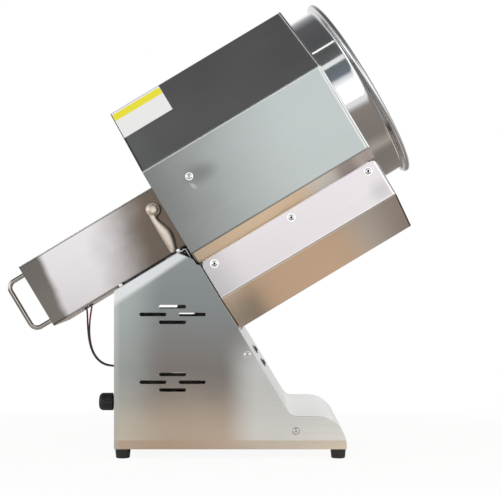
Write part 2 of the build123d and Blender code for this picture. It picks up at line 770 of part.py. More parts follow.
def motor_bracket():
    front = (GEARHEAD_FRONT, GEARHEAD_FRONT + BRACKET_SHEET)
    half = MOTOR_HALF + BRACKET_MARGIN
    upright = block(front, (-half, half), (BOX_FLOOR, MOTOR_Z + MOTOR_HALF))
    upright -= shaft((front[0] - CUT, front[1] + CUT), COUPLING_R + COUPLING_ROOM)
    foot_z = (BOX_FLOOR, BOX_FLOOR + BRACKET_SHEET)
    foot = block((front[0], front[0] + BRACKET_FOOT), (-half, half), foot_z)
    cradle_z = (BOX_FLOOR, MOTOR_Z - MOTOR_HALF)
    cradle_rear = MOTOR_REAR + CRADLE_INSET
    cradle = block((cradle_rear, cradle_rear + CRADLE_WIDTH), (-half, half), cradle_z)
    return [upright + foot, cradle]


def motor_capacitor():
    centre = BOX_FLOOR + CAPACITOR_R
    can = shaft((CAPACITOR_X, CAPACITOR_X + CAPACITOR_LENGTH), CAPACITOR_R, CAPACITOR_Y, centre)
    can = fillet(can.edges(), BEND)
    tags = block(
        (CAPACITOR_X + CAPACITOR_LENGTH, CAPACITOR_X + CAPACITOR_LENGTH + TAG_LENGTH),
        (CAPACITOR_Y - TAG_HALF, CAPACITOR_Y + TAG_HALF),
        (centre - TAG_SHEET / 2, centre + TAG_SHEET / 2),
    )
    return can + tags


# Motor box

def motor_box_shell():
    line = [
        (-BOX_HALF, BOX_TOP - SHEET),
        (-BOX_HALF, BOX_BOTTOM),
        (BOX_HALF, BOX_BOTTOM),
        (BOX_HALF, BOX_TOP - SHEET),
    ]
    shell = along(bent_sheet(line), BOX_REAR, BOX_LENGTH)
    sweep_room = (CLAMP_Y - CLAMP_ROOM, CLAMP_Y + CLAMP_SHEET + CLAMP_ROOM)
    shell -= block((CLAMP_SWEEP_END, TOP_PLATE_FRONT), sweep_room, (BOX_BOTTOM - CUT, BOX_FLOOR + CUT))
    wall = (-BOX_HALF - CUT, -BOX_HALF + SHEET + CUT)
    shell -= rod((LEVER_X, wall[0], LEVER_Z), (LEVER_X, wall[1], LEVER_Z), STUD_R + RUN)
    return shell


def motor_box_lid():
    lid = block((BOX_REAR, 0), (-BOX_HALF, BOX_HALF), (BOX_TOP - SHEET, BOX_TOP))
    return fillet(lid.edges().filter_by(Axis.Z), BEND)


def motor_box_rear_plate():
    inner = BOX_HALF - SHEET
    width = (BEND - inner, inner - BEND)
    return block((BOX_REAR, BOX_REAR + SHEET), width, (BOX_FLOOR, BOX_TOP - SHEET))


def rear_handle():
    middle = BOX_MIDDLE + HANDLE_RAISE
    high = middle + HANDLE_SPAN / 2
    low = middle - HANDLE_SPAN / 2
    end_x = BOX_REAR - HANDLE_REACH
    path = FilletPolyline(
        (BOX_REAR, 0, high),
        (end_x, 0, high),
        (end_x, 0, low),
        (BOX_REAR, 0, low),
        radius=HANDLE_BEND,
    )
    bow = sweep(Plane(path @ 0, z_dir=path % 0) * Circle(HANDLE_R), path=path)
    for height in (high, low):
        bow += shaft((BOX_REAR - HANDLE_COLLAR, BOX_REAR), HANDLE_COLLAR_R, 0, height)
    return bow


# Clamp lever: turns on the head, its stud sits in an open notch of the pedestal's bracket

def lever_handle():
    seat = -BOX_HALF - GAP - WASHER
    hub = rod((LEVER_X, seat, LEVER_Z), (LEVER_X, seat - LEVER_HUB, LEVER_Z), LEVER_HUB_R)
    hub = fillet(hub.edges().sort_by(Axis.Y)[0], BEND)
    front_edge = [(LEVER_X + c + w, LEVER_Z - share * LEVER_LENGTH) for share, c, w in LEVER_STATIONS]
    rear_edge = [(LEVER_X + c - w, LEVER_Z - share * LEVER_LENGTH) for share, c, w in LEVER_STATIONS]
    tip = (LEVER_X + LEVER_STATIONS[-1][1], LEVER_Z - LEVER_LENGTH)
    edge = Spline(*front_edge, tip, *reversed(rear_edge))
    outer = seat - LEVER_HUB + BEND
    arm = across(make_face([edge, Line(rear_edge[0], front_edge[0])]), outer, LEVER_THICKNESS)
    long_edges = arm.edges().filter_by(GeomType.BSPLINE)
    arm = fillet(long_edges, LEVER_THICKNESS / 4)
    return hub + arm


def lever_washer():
    seat = -BOX_HALF - GAP
    ring = rod((LEVER_X, seat, LEVER_Z), (LEVER_X, seat - WASHER, LEVER_Z), WASHER_R)
    return ring - rod((LEVER_X, seat + CUT, LEVER_Z), (LEVER_X, seat - WASHER - CUT, LEVER_Z), STUD_R)


def clamp_stud():
    """Stud behind the lever, with a collar before the bracket and a nut behind it."""
    outer = -BOX_HALF - GAP - WASHER
    nut_start = CLAMP_Y + CLAMP_SHEET + GAP
    stud = rod((LEVER_X, outer, LEVER_Z), (LEVER_X, nut_start + CLAMP_NUT, LEVER_Z), STUD_R)
    collar = (-BOX_HALF + SHEET + GAP, CLAMP_Y - GAP)
    stud += rod((LEVER_X, collar[0], LEVER_Z), (LEVER_X, collar[1], LEVER_Z), STUD_COLLAR_R)
    nut = across(Pos(LEVER_X, LEVER_Z) * RegularPolygon(STUD_COLLAR_R, 6), nut_start, CLAMP_NUT)
    return stud + nut


def clamp_stud_pieces():
    return [clamp_stud(), lever_washer()]


def clamp_bracket():
    """Upright plate with a notch that follows the stud's arc about the hinge and opens forwards."""
    low = PED_TOP - SHEET - CLAMP_SHEET
    plate = block((CLAMP_REAR, CLAMP_FRONT), (CLAMP_Y, CLAMP_Y + CLAMP_SHEET), (low, CLAMP_TOP))
    reach = (Vector(LEVER_X, LEVER_Z) - Vector(PIVOT_X, PIVOT_Z)).length
    room = STUD_R + GAP
    arc = Pos(PIVOT_X, PIVOT_Z) * (Circle(reach + room) - Circle(reach - room))
    through = (CLAMP_Y - CUT, CLAMP_Y + CLAMP_SHEET + CUT)
    notch = across(arc, through[0], through[1] - through[0])
    plate -= notch & block((LEVER_X, CLAMP_FRONT + CUT), through, (low, CLAMP_TOP))
    plate -= rod((LEVER_X, through[0], LEVER_Z), (LEVER_X, through[1], LEVER_Z), room)
    foot = block((CLAMP_REAR, CLAMP_FRONT), (CLAMP_Y, CLAMP_Y + CLAMP_FOOT), (low, low + CLAMP_SHEET))
    return plate + foot


# Pedestal

def toe_corner():
    """Row X and Z where the sloping front meets the toe's flat top."""
    x, z = world(PED_FRONT, TRAY_BOTTOM)
    return (x + (z - TOE_TOP) * SIN / COS, TOE_TOP)


def pedestal_outline():
    """Side view of the pedestal in row X and Z."""
    top_rear = (PED_BACK - AXIS_X + PED_TOP * SIN) / COS
    corners = [
        ((PED_BACK, FOOT_HEIGHT), 0),
        (world(top_rear, PED_TOP), PED_REAR_CORNER),
        (world(PED_CROWN_X, PED_TOP), PED_CROWN_CORNER),
        (world(-PED_HOOD_CLEAR, LIP_Z + PED_NECK), PED_NECK),
        (world(-PED_HOOD_CLEAR, LIP_Z), 0),
        (world(PED_FRONT, PANEL_TOP), 0),
        (toe_corner(), TOE_COVE),
        ((TOE_END, TOE_TOP), TOE_NOSE),
        ((TOE_END, FOOT_HEIGHT), 0),
    ]
    radii = [radius for _, radius in corners]
    return make_face(FilletPolyline(*[at for at, _ in corners], radius=radii, close=True).edges())


def vent_slots():
    """Four slots around each vent's middle, as a flat drawing in row X and Z."""
    slot = SlotOverall(VENT_LENGTH, VENT_WIDTH)
    spots = [(0, VENT_RISE), (0, -VENT_RISE), (VENT_REACH, 0), (-VENT_REACH, 0)]
    return [Pos(VENT_X + x, height + z) * slot for height in VENT_HEIGHTS for x, z in spots]


def side_screw_seats():
    """Seats of the screws in both side panels."""
    return [((x, side * PED_HALF, z), (0, side, 0)) for side in (-1, 1) for x, z in SIDE_SCREWS]


def side_panel(side):
    """Side panel with vents and a band along its top edge that leans inwards."""
    outline = pedestal_outline()
    start = -PED_HALF if side < 0 else PED_INNER
    flat = across(outline, start, SHEET)
    band_low = PED_TOP - PED_BAND
    reach = HOOD_LENGTH
    above = block((-reach, reach), (-PED_HALF - CUT, PED_HALF + CUT), (band_low, reach))
    flat -= HEAD * above
    face = side * PED_HALF
    inner = side * SHEET
    lean = side * PED_BAND_LEAN
    section = [
        (face, band_low),
        (face - lean, PED_TOP),
        (face - lean - inner, PED_TOP),
        (face - inner, band_low),
    ]
    band = HEAD * along(polygon(section), -reach, 2 * reach)
    band &= across(outline, -PED_HALF - CUT, 2 * PED_HALF + 2 * CUT)
    panel = flat + band
    for slot in vent_slots():
        panel -= across(slot, start - CUT, SHEET + 2 * CUT)
    if side > 0:
        hole_r = SPINDLE_R + SPINDLE_ROOM
        panel -= rod((KNOB_X, PED_INNER - CUT, KNOB_Z), (KNOB_X, PED_HALF + CUT, KNOB_Z), hole_r)
    for seat, way in side_screw_seats():
        panel -= screw_hole(seat, way)
    return panel


def side_screws():
    return [pan_screw(seat, way, washer=False) for seat, way in side_screw_seats()]


def back_height(level):
    """Row Z where a level of the head's frame meets the back wall."""
    return world((PED_BACK - AXIS_X + level * SIN) / COS, level)[1]


def crown_half():
    """Half-width between the bands that lean in along the top."""
    return PED_HALF - PED_BAND_LEAN - 2 * SHEET


def back_panel():
    wall = (PED_BACK, PED_BACK + SHEET)
    shoulder = back_height(PED_TOP - PED_BAND) - GAP
    width = (-PED_INNER + RUN, PED_INNER - RUN)
    panel = block(wall, width, (FOOT_HEIGHT, shoulder))
    crown = (-crown_half(), crown_half())
    panel += block(wall, crown, (shoulder - SHEET, back_height(PED_TOP) - SHEET))
    return panel - shaft((PED_BACK - CUT, PED_BACK + SHEET + CUT), GLAND_NECK_R + RUN, GLAND_Y, GLAND_Z)


def front_panel():
    """Sloping front bent over a cove, the toe's flat top and its rounded nose."""
    line = [
        world(PED_FRONT, PANEL_TOP),
        toe_corner(),
        (TOE_END, TOE_TOP),
        (TOE_END, FOOT_HEIGHT),
    ]
    outer = FilletPolyline(*line, radius=[TOE_COVE, TOE_NOSE])
    start = world(PANEL_BACK, PANEL_TOP)
    slope_back = toe_corner()[0] - SHEET * tan(radians((90 - AXIS_TILT) / 2))
    inner_line = [
        start,
        (slope_back, TOE_TOP - SHEET),
        (TOE_END - SHEET, TOE_TOP - SHEET),
        (TOE_END - SHEET, FOOT_HEIGHT),
    ]
    inner = FilletPolyline(*inner_line, radius=[TOE_COVE + SHEET, TOE_NOSE - SHEET])
    ends = [Line(line[0], start), Line(line[-1], inner_line[-1])]
    face = make_face([*outer.edges(), *inner.edges(), *ends])
    panel = across(face, -PED_INNER + RUN, 2 * (PED_INNER - RUN))
    room = KNUCKLE_R + GAP
    reach = (PANEL_BACK - CUT, PED_FRONT + CUT)
    for centre in HINGE_CENTRES:
        width = (centre - HINGE_WIDTH / 2 - GAP, centre + HINGE_WIDTH / 2 + GAP)
        panel -= HEAD * block(reach, width, (PIVOT_Z - room, PIVOT_Z + room))
    for place in SWITCH_PLACES:
        panel -= HEAD * switch_block(place, reach, SWITCH_RIM - RUN)
    return panel


def base_plate():
    width = (-PED_INNER + RUN, PED_INNER - RUN)
    return block((PED_BACK + SHEET, TOE_END - SHEET), width, (FOOT_HEIGHT, FOOT_HEIGHT + SHEET))


def top_plate():
    """Sloping plate under the motor box, with a skirt bent down behind the hood."""
    rear_x = (PED_BACK + SHEET - AXIS_X + PED_TOP * SIN) / COS + BEND
    line = [
        (TOP_PLATE_FRONT, PED_TOP - TOP_PLATE_SKIRT),
        (TOP_PLATE_FRONT, PED_TOP),
        (rear_x, PED_TOP),
    ]
    plate = across(bent_sheet(line), -crown_half(), 2 * crown_half())
    slot = (CLAMP_Y - GAP, CLAMP_Y + CLAMP_SHEET + GAP)
    plate -= block((CLAMP_REAR - GAP, CLAMP_FRONT + GAP), slot, (PED_TOP - 2 * SHEET, PED_TOP + CUT))
    for place in TOP_BOLT_PLACES:
        for side in (-1, 1):
            plate -= screw_hole((place, side * TOP_BOLT_Y, PED_TOP), (0, 0, 1))
    return plate


def top_bolts():
    spots = [(place, side * TOP_BOLT_Y, PED_TOP) for place in TOP_BOLT_PLACES for side in (-1, 1)]
    return [hex_bolt(spot, (0, 0, 1), SCREW_SHANK) for spot in spots]


def rubber_bumpers():
    top = BOX_BOTTOM - GAP
    return [rod((BUMPER_X, y, PED_TOP), (BUMPER_X, y, top), BUMPER_R) for y in (-BUMPER_Y, BUMPER_Y)]


def rubber_feet():
    feet = []
    for x in (PED_BACK + FOOT_INSET, TOE_END - FOOT_INSET):
        for side in (-1, 1):
            at = (x, side * (PED_HALF - FOOT_INSET), 0)
            foot = Solid.make_cone(FOOT_LOW_R, FOOT_R, FOOT_HEIGHT, Plane(at))
            feet.append(foot)
    return feet


# Tipping hinges

def hinge_knuckles(centre, upper):
    """y ranges of the knuckles of one leaf: the head's in the middle, the pedestal's outside."""
    third = HINGE_WIDTH / 3
    low = centre - HINGE_WIDTH / 2
    thirds = [(low + third * i + GAP / 2, low + third * (i + 1) - GAP / 2) for i in range(3)]
    return [thirds[1]] if upper else [thirds[0], thirds[2]]


def hinge_leaf(centre, upper):
    """Leaf with its knuckles: inside the tray's rear wall, or behind the pedestal's front."""
    way = 1 if upper else -1
    near = TRAY_REAR + SHEET if upper else PANEL_BACK - HINGE_LEAF
    faces = (near, near + HINGE_LEAF)
    clear = PIVOT_Z + way * (KNUCKLE_R + 3 * GAP)
    far = PIVOT_Z + way * (KNUCKLE_R + HINGE_LEAF_LENGTH)
    width = (centre - HINGE_WIDTH / 2, centre + HINGE_WIDTH / 2)
    leaf = block(faces, width, sorted((clear, far)))
    for span in hinge_knuckles(centre, upper):
        barrel = rod((PIVOT_X, span[0], PIVOT_Z), (PIVOT_X, span[1], PIVOT_Z), KNUCKLE_R)
        leaf += barrel + block(faces, span, sorted((PIVOT_Z, clear)))
    bore = rod((PIVOT_X, width[0] - CUT, PIVOT_Z), (PIVOT_X, width[1] + CUT, PIVOT_Z), HINGE_PIN_R + RUN)
    return leaf - bore


def hinge_pin(centre):
    half = HINGE_WIDTH / 2
    return rod((PIVOT_X, centre - half, PIVOT_Z), (PIVOT_X, centre + half, PIVOT_Z), HINGE_PIN_R)


# Electrical fittings

def gland_body():
    """Threaded body: flange against the wall, neck through it and short barrel outside."""
    at = (GLAND_Y, GLAND_Z)
    flange = shaft((PED_BACK - GLAND_FLANGE, PED_BACK), GLAND_FLANGE_R, *at)
    ends = (PED_BACK - GLAND_FLANGE - GLAND_NECK, PED_BACK + SHEET + GLAND_TAIL)
    neck = shaft(ends, GLAND_NECK_R, *at)
    return flange + neck - shaft((ends[0] - CUT, ends[1] + CUT), GLAND_BORE_R, *at)


def gland_dome_nut():
    """Domed clamping nut with finger ribs."""
    start = PED_BACK - GLAND_FLANGE - GLAND_NECK
    nut = shaft((start - GLAND_LENGTH, start), GLAND_R, GLAND_Y, GLAND_Z)
    nut = fillet(nut.edges().sort_by(Axis.X)[0], GLAND_R / 2)
    groove = shaft((start - GLAND_RIB_LENGTH, start + CUT), GLAND_GROOVE_R)
    for turn in range(GLAND_RIBS):
        spoke = Rot(360 * turn / GLAND_RIBS, 0, 0) * Pos(0, 0, GLAND_R + GLAND_GROOVE_R / 2)
        nut -= Pos(0, GLAND_Y, GLAND_Z) * spoke * groove
    return nut - shaft((start - GLAND_LENGTH - CUT, start + CUT), GLAND_BORE_R, GLAND_Y, GLAND_Z)


def gland_nuts():
    """The domed nut outside and the locknut inside the wall."""
    return [gland_dome_nut(), gland_locknut()]


def gland_locknut():
    faces = Plane.YZ.offset(PED_BACK + SHEET) * Pos(GLAND_Y, GLAND_Z)
    nut = extrude(faces * RegularPolygon(GLAND_R, 6), amount=LOCKNUT, dir=(1, 0, 0))
    return nut - shaft((PED_BACK, PED_BACK + SHEET + LOCKNUT + CUT), GLAND_NECK_R, GLAND_Y, GLAND_Z)


def switch_block(place, x, inset):
    """Upright box on a switch's centre, drawn in from the bezel's outline."""
    half_y = SWITCH_HALF_Y - inset
    half_z = SWITCH_HALF_Z - inset
    return block(x, (-half_y, half_y), (place - half_z, place + half_z))


def switch_housing(place):
    """Switch body behind the panel, with a bezel in front and a well for the rocker."""
    bezel = switch_block(place, (PED_FRONT, PED_FRONT + SWITCH_BEZEL), 0)
    bezel = fillet(bezel.edges().filter_by(Axis.X), SWITCH_RIM)
    body = switch_block(place, (PED_FRONT - SWITCH_DEPTH, PED_FRONT), SWITCH_RIM)
    well_start = PED_FRONT - SWITCH_DEPTH + 3 * SWITCH_WALL
    well = switch_block(place, (well_start, PED_FRONT + SWITCH_BEZEL + CUT), SWITCH_RIM + SWITCH_WALL)
    return bezel + body - well


def switch_rocker(place):
    """Two-way rocker, resting with its -Y half pressed in."""
    half_y = SWITCH_HALF_Y - SWITCH_RIM - SWITCH_WALL - 3 * GAP
    half_z = SWITCH_HALF_Z - SWITCH_RIM - SWITCH_WALL - GAP
    profile = polygon([
        (-ROCKER_DEPTH, -half_y),
        (ROCKER_RISE, -half_y),
        (ROCKER_DISH, 0),
        (ROCKER_RISE, half_y),
        (-ROCKER_DEPTH, half_y),
    ])
    rocker = extrude(Pos(0, 0, -half_z) * profile, amount=2 * half_z, dir=(0, 0, 1))
    pivot = Pos(PED_FRONT, 0, place)
    return pivot * Rot(0, 0, ROCKER_TURN) * rocker


def thermostat_body():
    low = PED_INNER - THERMOSTAT_DEPTH
    reach = THERMOSTAT_HALF
    case = block((KNOB_X - reach, KNOB_X + reach), (low, PED_INNER), (KNOB_Z - reach, KNOB_Z + reach))
    case = fillet(case.edges().filter_by(Axis.Y), BEND)
    well = PED_INNER - SPINDLE_DEPTH - CUT
    return case - rod((KNOB_X, well, KNOB_Z), (KNOB_X, PED_INNER + CUT, KNOB_Z), SPINDLE_R + RUN)


def thermostat_dial():
    outer = PED_HALF + KNOB_DIAL
    dial = rod((KNOB_X, PED_HALF, KNOB_Z), (KNOB_X, outer, KNOB_Z), KNOB_DIAL_R)
    hole_r = SPINDLE_R + SPINDLE_ROOM / 2
    return dial - rod((KNOB_X, PED_HALF - CUT, KNOB_Z), (KNOB_X, outer + CUT, KNOB_Z), hole_r)


def thermostat_knob():
    """Fluted knob with a pointer rib, and the spindle behind it."""
    start = PED_HALF + KNOB_DIAL + GAP
    knob = rod((KNOB_X, start, KNOB_Z), (KNOB_X, start + KNOB_DEPTH, KNOB_Z), KNOB_R)
    knob = fillet(knob.edges().sort_by(Axis.Y)[-1], BEND)
    end = start + KNOB_DEPTH
    flute = rod((0, start + KNOB_SKIRT, 0), (0, end + CUT, 0), KNOB_FLUTE_R)
    for turn in range(KNOB_FLUTES):
        spoke = Rot(0, 360 * turn / KNOB_FLUTES, 0) * Pos(0, 0, KNOB_R + KNOB_FLUTE_STAND)
        knob -= Pos(KNOB_X, 0, KNOB_Z) * spoke * flute
    knob += block(
        (KNOB_X - POINTER_HALF, KNOB_X + POINTER_HALF),
        (end - POINTER_RISE, end + POINTER_RISE),
        (KNOB_Z, KNOB_Z + KNOB_R - POINTER_INSET),
    )
    return knob + rod((KNOB_X, PED_INNER - SPINDLE_DEPTH, KNOB_Z), (KNOB_X, end, KNOB_Z), SPINDLE_R)


def terminal_block():
    length, width, height = TERMINAL_BLOCK
    x, y = TERMINAL_BLOCK_AT
    floor = FOOT_HEIGHT + SHEET
    body = block((x, x + length), (y, y + width), (floor, floor + height))
    pitch = length / TERMINAL_WAYS
    top = floor + height
    well_y = y + width / 3
    for way in range(TERMINAL_WAYS):
        centre = x + pitch * (way + 0.5)
        body -= rod((centre, well_y, top - TERMINAL_WELL), (centre, well_y, top + CUT), pitch / 3)
    return body


def head_grommets():
    """Rubber grommets under the motor box, where each wire comes out."""
    grommets = []
    for route in (BLUE_ROUTE, RED_ROUTE):
        x, y, z = route[0]
        along_axis = (x - AXIS_X) * COS + (z - AXIS_Z) * SIN
        foot = (along_axis, y, BOX_BOTTOM - GROMMET)
        grommets.append(rod(foot, (along_axis, y, BOX_BOTTOM), GROMMET_R))
    return grommets


def wall_grommet():
    """Rubber grommet on the back panel, where both wires go in."""
    y = (BLUE_ROUTE[-1][1] + RED_ROUTE[-1][1]) / 2
    z = BLUE_ROUTE[-1][2]
    return shaft((PED_BACK - GROMMET, PED_BACK), WALL_GROMMET_R, y, z)


def wire(name, route):
    """Round wire along straight runs joined by arcs as large as the runs allow."""
    points = [Vector(*point) for point in route]
    radii = []
    for before, corner, after in zip(points, points[1:], points[2:]):
        shorter = min((corner - before).length, (after - corner).length)
        turn = radians((corner - before).get_angle(after - corner))
        radii.append(0.45 * shorter / tan(turn / 2))
    path = FilletPolyline(*points, radius=radii)
    solid = sweep(Plane(path @ 0, z_dir=path % 0) * Circle(WIRE_D / 2), path=path)
    expected = pi * (WIRE_D / 2) ** 2 * path.length
    ratio = solid.volume / expected
    print(f"{name}: length {path.length:.1f}, least radius {min(radii):.1f}, volume ratio {ratio:.4f}")
    return solid


def save(node, shapes, place=None):
    """Write one node as a STEP file of separate solids."""
    solids = []
    for shape in shapes if isinstance(shapes, list) else [shapes]:
        placed = place * shape if place else shape
        solids += placed.solids()
    export_step(Compound(solids), f"parts/{node}.step")


HEAD_FRAME_PIECES = {
    "hood_shell": hood_shell,
    "hood_rear_plate": hood_rear_plate,
    "hood_front_plate": hood_front_plate,
    "heater_tray": heater_tray,
    "casing_screws": casing_screws,
    "heating_tubes": heating_tubes,
    "heater_terminal_plate": terminal_plate,
    "heater_terminals": heater_terminals,
    "heater_supports": tube_supports,
    "insulation_mats": insulation_mats,
    "temperature_probe": temperature_probe,
    "drum_shell": drum_shell,
    "drum_rim": drum_rim,
    "drum_rear_disc": drum_rear_disc,
    "drum_flights": drum_flights,
    "drum_hub": drum_hub,
    "drum_shaft": drum_shaft,
    "shaft_coupling": shaft_coupling,
    "drum_bearing": drum_bearing,
    "output_gear": output_gear,
    "motor_rotor": motor_rotor,
    "motor_fan": motor_fan,
    "gearhead_case": gearhead_case,
    "motor_body": motor_body,
    "motor_fan_cover": fan_cover,
    "motor_bracket": motor_bracket,
    "motor_capacitor": motor_capacitor,
    "motor_box_shell": motor_box_shell,
    "motor_box_lid": motor_box_lid,
    "motor_box_rear_plate": motor_box_rear_plate,
    "rear_handle": rear_handle,
    "lever_handle": lever_handle,
    "clamp_stud": clamp_stud_pieces,
    "clamp_bracket": clamp_bracket,
    "top_plate": top_plate,
    "top_bolts": top_bolts,
    "rubber_bumpers": rubber_bumpers,
    "head_grommets": head_grommets,
}

ROW_FRAME_PIECES = {
    "side_screws": side_screws,
    "back_panel": back_panel,
    "front_panel": front_panel,
    "base_plate": base_plate,
    "rubber_feet": rubber_feet,
    "gland_body": gland_body,
    "gland_nuts": gland_nuts,
    "thermostat_body": thermostat_body,
    "thermostat_dial": thermostat_dial,
    "thermostat_knob": thermostat_knob,
    "terminal_block": terminal_block,
    "wall_grommet": wall_grommet,
}

os.makedirs("parts", exist_ok=True)
for node, make in HEAD_FRAME_PIECES.items():
    save(node, make(), HEAD)
for node, make in ROW_FRAME_PIECES.items():
    save(node, make())
save("side_panel_near", side_panel(-1))
save("side_panel_far", side_panel(1))
save("hinge_upper_leaves", [hinge_leaf(centre, True) for centre in HINGE_CENTRES], HEAD)
save("hinge_lower_leaves", [hinge_leaf(centre, False) for centre in HINGE_CENTRES], HEAD)
save("hinge_pins", [hinge_pin(centre) for centre in HINGE_CENTRES], HEAD)
save("switch_housings", [switch_housing(place) for place in SWITCH_PLACES], HEAD)
for name, place in zip(("heat", "drum"), SWITCH_PLACES):
    save(f"{name}_switch_rocker", switch_rocker(place), HEAD)
save("wire_blue", wire("wire_blue", BLUE_ROUTE))
save("wire_red", wire("wire_red", RED_ROUTE))
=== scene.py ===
"""Looks of the electric nut roaster: finishes, small fittings, wires, light and camera, in metres."""
import json
import math
from functools import partialmethod
from itertools import product
from types import SimpleNamespace

import bmesh
import bpy
from mathutils import Matrix, Vector


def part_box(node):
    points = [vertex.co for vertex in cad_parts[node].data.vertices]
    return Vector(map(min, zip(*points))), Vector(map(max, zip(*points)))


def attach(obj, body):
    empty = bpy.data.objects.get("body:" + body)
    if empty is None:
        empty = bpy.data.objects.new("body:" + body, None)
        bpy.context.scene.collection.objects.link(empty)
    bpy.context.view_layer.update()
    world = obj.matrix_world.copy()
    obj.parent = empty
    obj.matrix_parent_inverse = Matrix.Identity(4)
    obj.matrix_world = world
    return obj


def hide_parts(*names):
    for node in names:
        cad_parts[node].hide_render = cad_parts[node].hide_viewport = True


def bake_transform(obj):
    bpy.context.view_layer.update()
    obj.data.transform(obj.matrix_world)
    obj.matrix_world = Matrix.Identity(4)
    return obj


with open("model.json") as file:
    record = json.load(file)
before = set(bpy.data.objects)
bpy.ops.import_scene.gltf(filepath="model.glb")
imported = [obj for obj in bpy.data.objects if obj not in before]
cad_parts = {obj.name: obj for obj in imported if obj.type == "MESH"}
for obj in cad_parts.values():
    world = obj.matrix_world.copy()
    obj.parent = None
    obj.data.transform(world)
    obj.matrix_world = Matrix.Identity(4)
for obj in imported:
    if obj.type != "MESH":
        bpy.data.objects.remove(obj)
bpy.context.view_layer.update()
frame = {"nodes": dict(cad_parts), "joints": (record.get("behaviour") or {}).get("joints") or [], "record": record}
JOINTS = {joint["name"]: joint for joint in frame["joints"]}
MM = 0.001
WHITE = (1.0, 1.0, 1.0)
FORWARD = Vector((1, 0, 0))
ACROSS = Vector((0, 1, 0))
UP = Vector((0, 0, 1))

# The head's own axes: along the drum, across, and square to both
DRUM_AXIS = Vector(JOINTS["drum_spin"]["axis"]).normalized()
HEAD_UP = DRUM_AXIS.cross(ACROSS)
HEAD = Matrix((DRUM_AXIS, ACROSS, HEAD_UP)).transposed().to_4x4()
HEAD.translation = JOINTS["drum_spin"]["pos_m"]
TO_HEAD = HEAD.inverted()


def corners(points):
    """Lowest and highest corner of some points."""
    points = list(points)
    return tuple(Vector(pick(point[i] for point in points) for i in range(3)) for pick in (min, max))


def head_box(node):
    """Lowest and highest corner of a node along the head's own axes."""
    return corners(TO_HEAD @ vertex.co for vertex in frame["nodes"][node].data.vertices)


# Sizes of the head's sheets and the drum, along the head's axes
HOOD_FRONT, HOOD_HALF, HOOD_TOP = head_box("hood_shell")[1]
HOOD_TOP_HALF = 70 * MM
HOOD_SHOULDER = 52 * MM
HOOD_LOW = -98 * MM
HOOD_SCREW = (60 * MM, 8 * MM)
DRUM_REAR = head_box("drum_shell")[0].x
DRUM_OUTER = head_box("drum_shell")[1].y
RIM_LOW, RIM_HIGH = head_box("drum_rim")
RIM_BEAD = (RIM_HIGH.x - RIM_LOW.x) / 2
RIM_MIDDLE = RIM_LOW.x + RIM_BEAD
DRUM_FLARE = RIM_MIDDLE - 10.5 * MM
TRAY_FRONT, FLANGE_HALF = head_box("heater_tray")[1].xy
FLANGE_LOW = -182.8 * MM
BOX_REAR, BOX_LOW = head_box("motor_box_shell")[0].xz
BOX_HALF = head_box("motor_box_shell")[1].y
BOX_TOP = head_box("motor_box_lid")[1].z

# Sizes of the pedestal: its top and its sloping front along the head's axes, the rest upright
PED_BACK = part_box("side_panel_near")[0].x
PED_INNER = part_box("front_panel")[1].y
PED_TOP = head_box("side_panel_near")[1].z
PED_SLOPE = head_box("front_panel")[0].x


# Node trees

class Field:
    """One socket of a node tree. Python's operators on it add Math nodes."""

    def __init__(self, tree, socket):
        self.tree = tree
        self.socket = socket

    def math(self, operation, *others):
        inputs = dict(enumerate((self, *others)))
        return self.tree.add("ShaderNodeMath", inputs, operation=operation)

    __add__ = __radd__ = partialmethod(math, "ADD")
    __sub__ = partialmethod(math, "SUBTRACT")
    __mul__ = __rmul__ = partialmethod(math, "MULTIPLY")
    __truediv__ = partialmethod(math, "DIVIDE")
    __pow__ = partialmethod(math, "POWER")
    __abs__ = partialmethod(math, "ABSOLUTE")

    def __rsub__(self, other):
        return self.tree.add("ShaderNodeMath", {0: other, 1: self}, operation="SUBTRACT")

    def clamp(self):
        """This value, kept between 0 and 1."""
        return self.math("MINIMUM", 1.0).math("MAXIMUM", 0.0)

    def swing(self, reach):
        """A value from 0 to 1 as a change of half the reach either way."""
        return (self - 0.5) * reach

    def step(self, low, high, start=0.0, end=1.0):
        """Smooth change from start to end as this value goes from low to high."""
        inputs = {"Value": self, "From Min": low, "From Max": high, "To Min": start, "To Max": end}
        return self.tree.add("ShaderNodeMapRange", inputs, interpolation_type="SMOOTHSTEP")

    def fall(self, low, high):
        """Smooth change from 1 to 0 as this value goes from low to high."""
        return self.step(low, high, 1.0, 0.0)

    def window(self, rise, drop):
        """1 between two ranges: 0 before the rise and after the drop."""
        return self.step(*rise) * self.fall(*drop)


def distance(first, second, at=(0.0, 0.0), size=(1.0, 1.0)):
    """Distance of two coordinates from a point, each axis measured in a size of its own."""
    return (((first - at[0]) / size[0]) ** 2.0 + ((second - at[1]) / size[1]) ** 2.0) ** 0.5


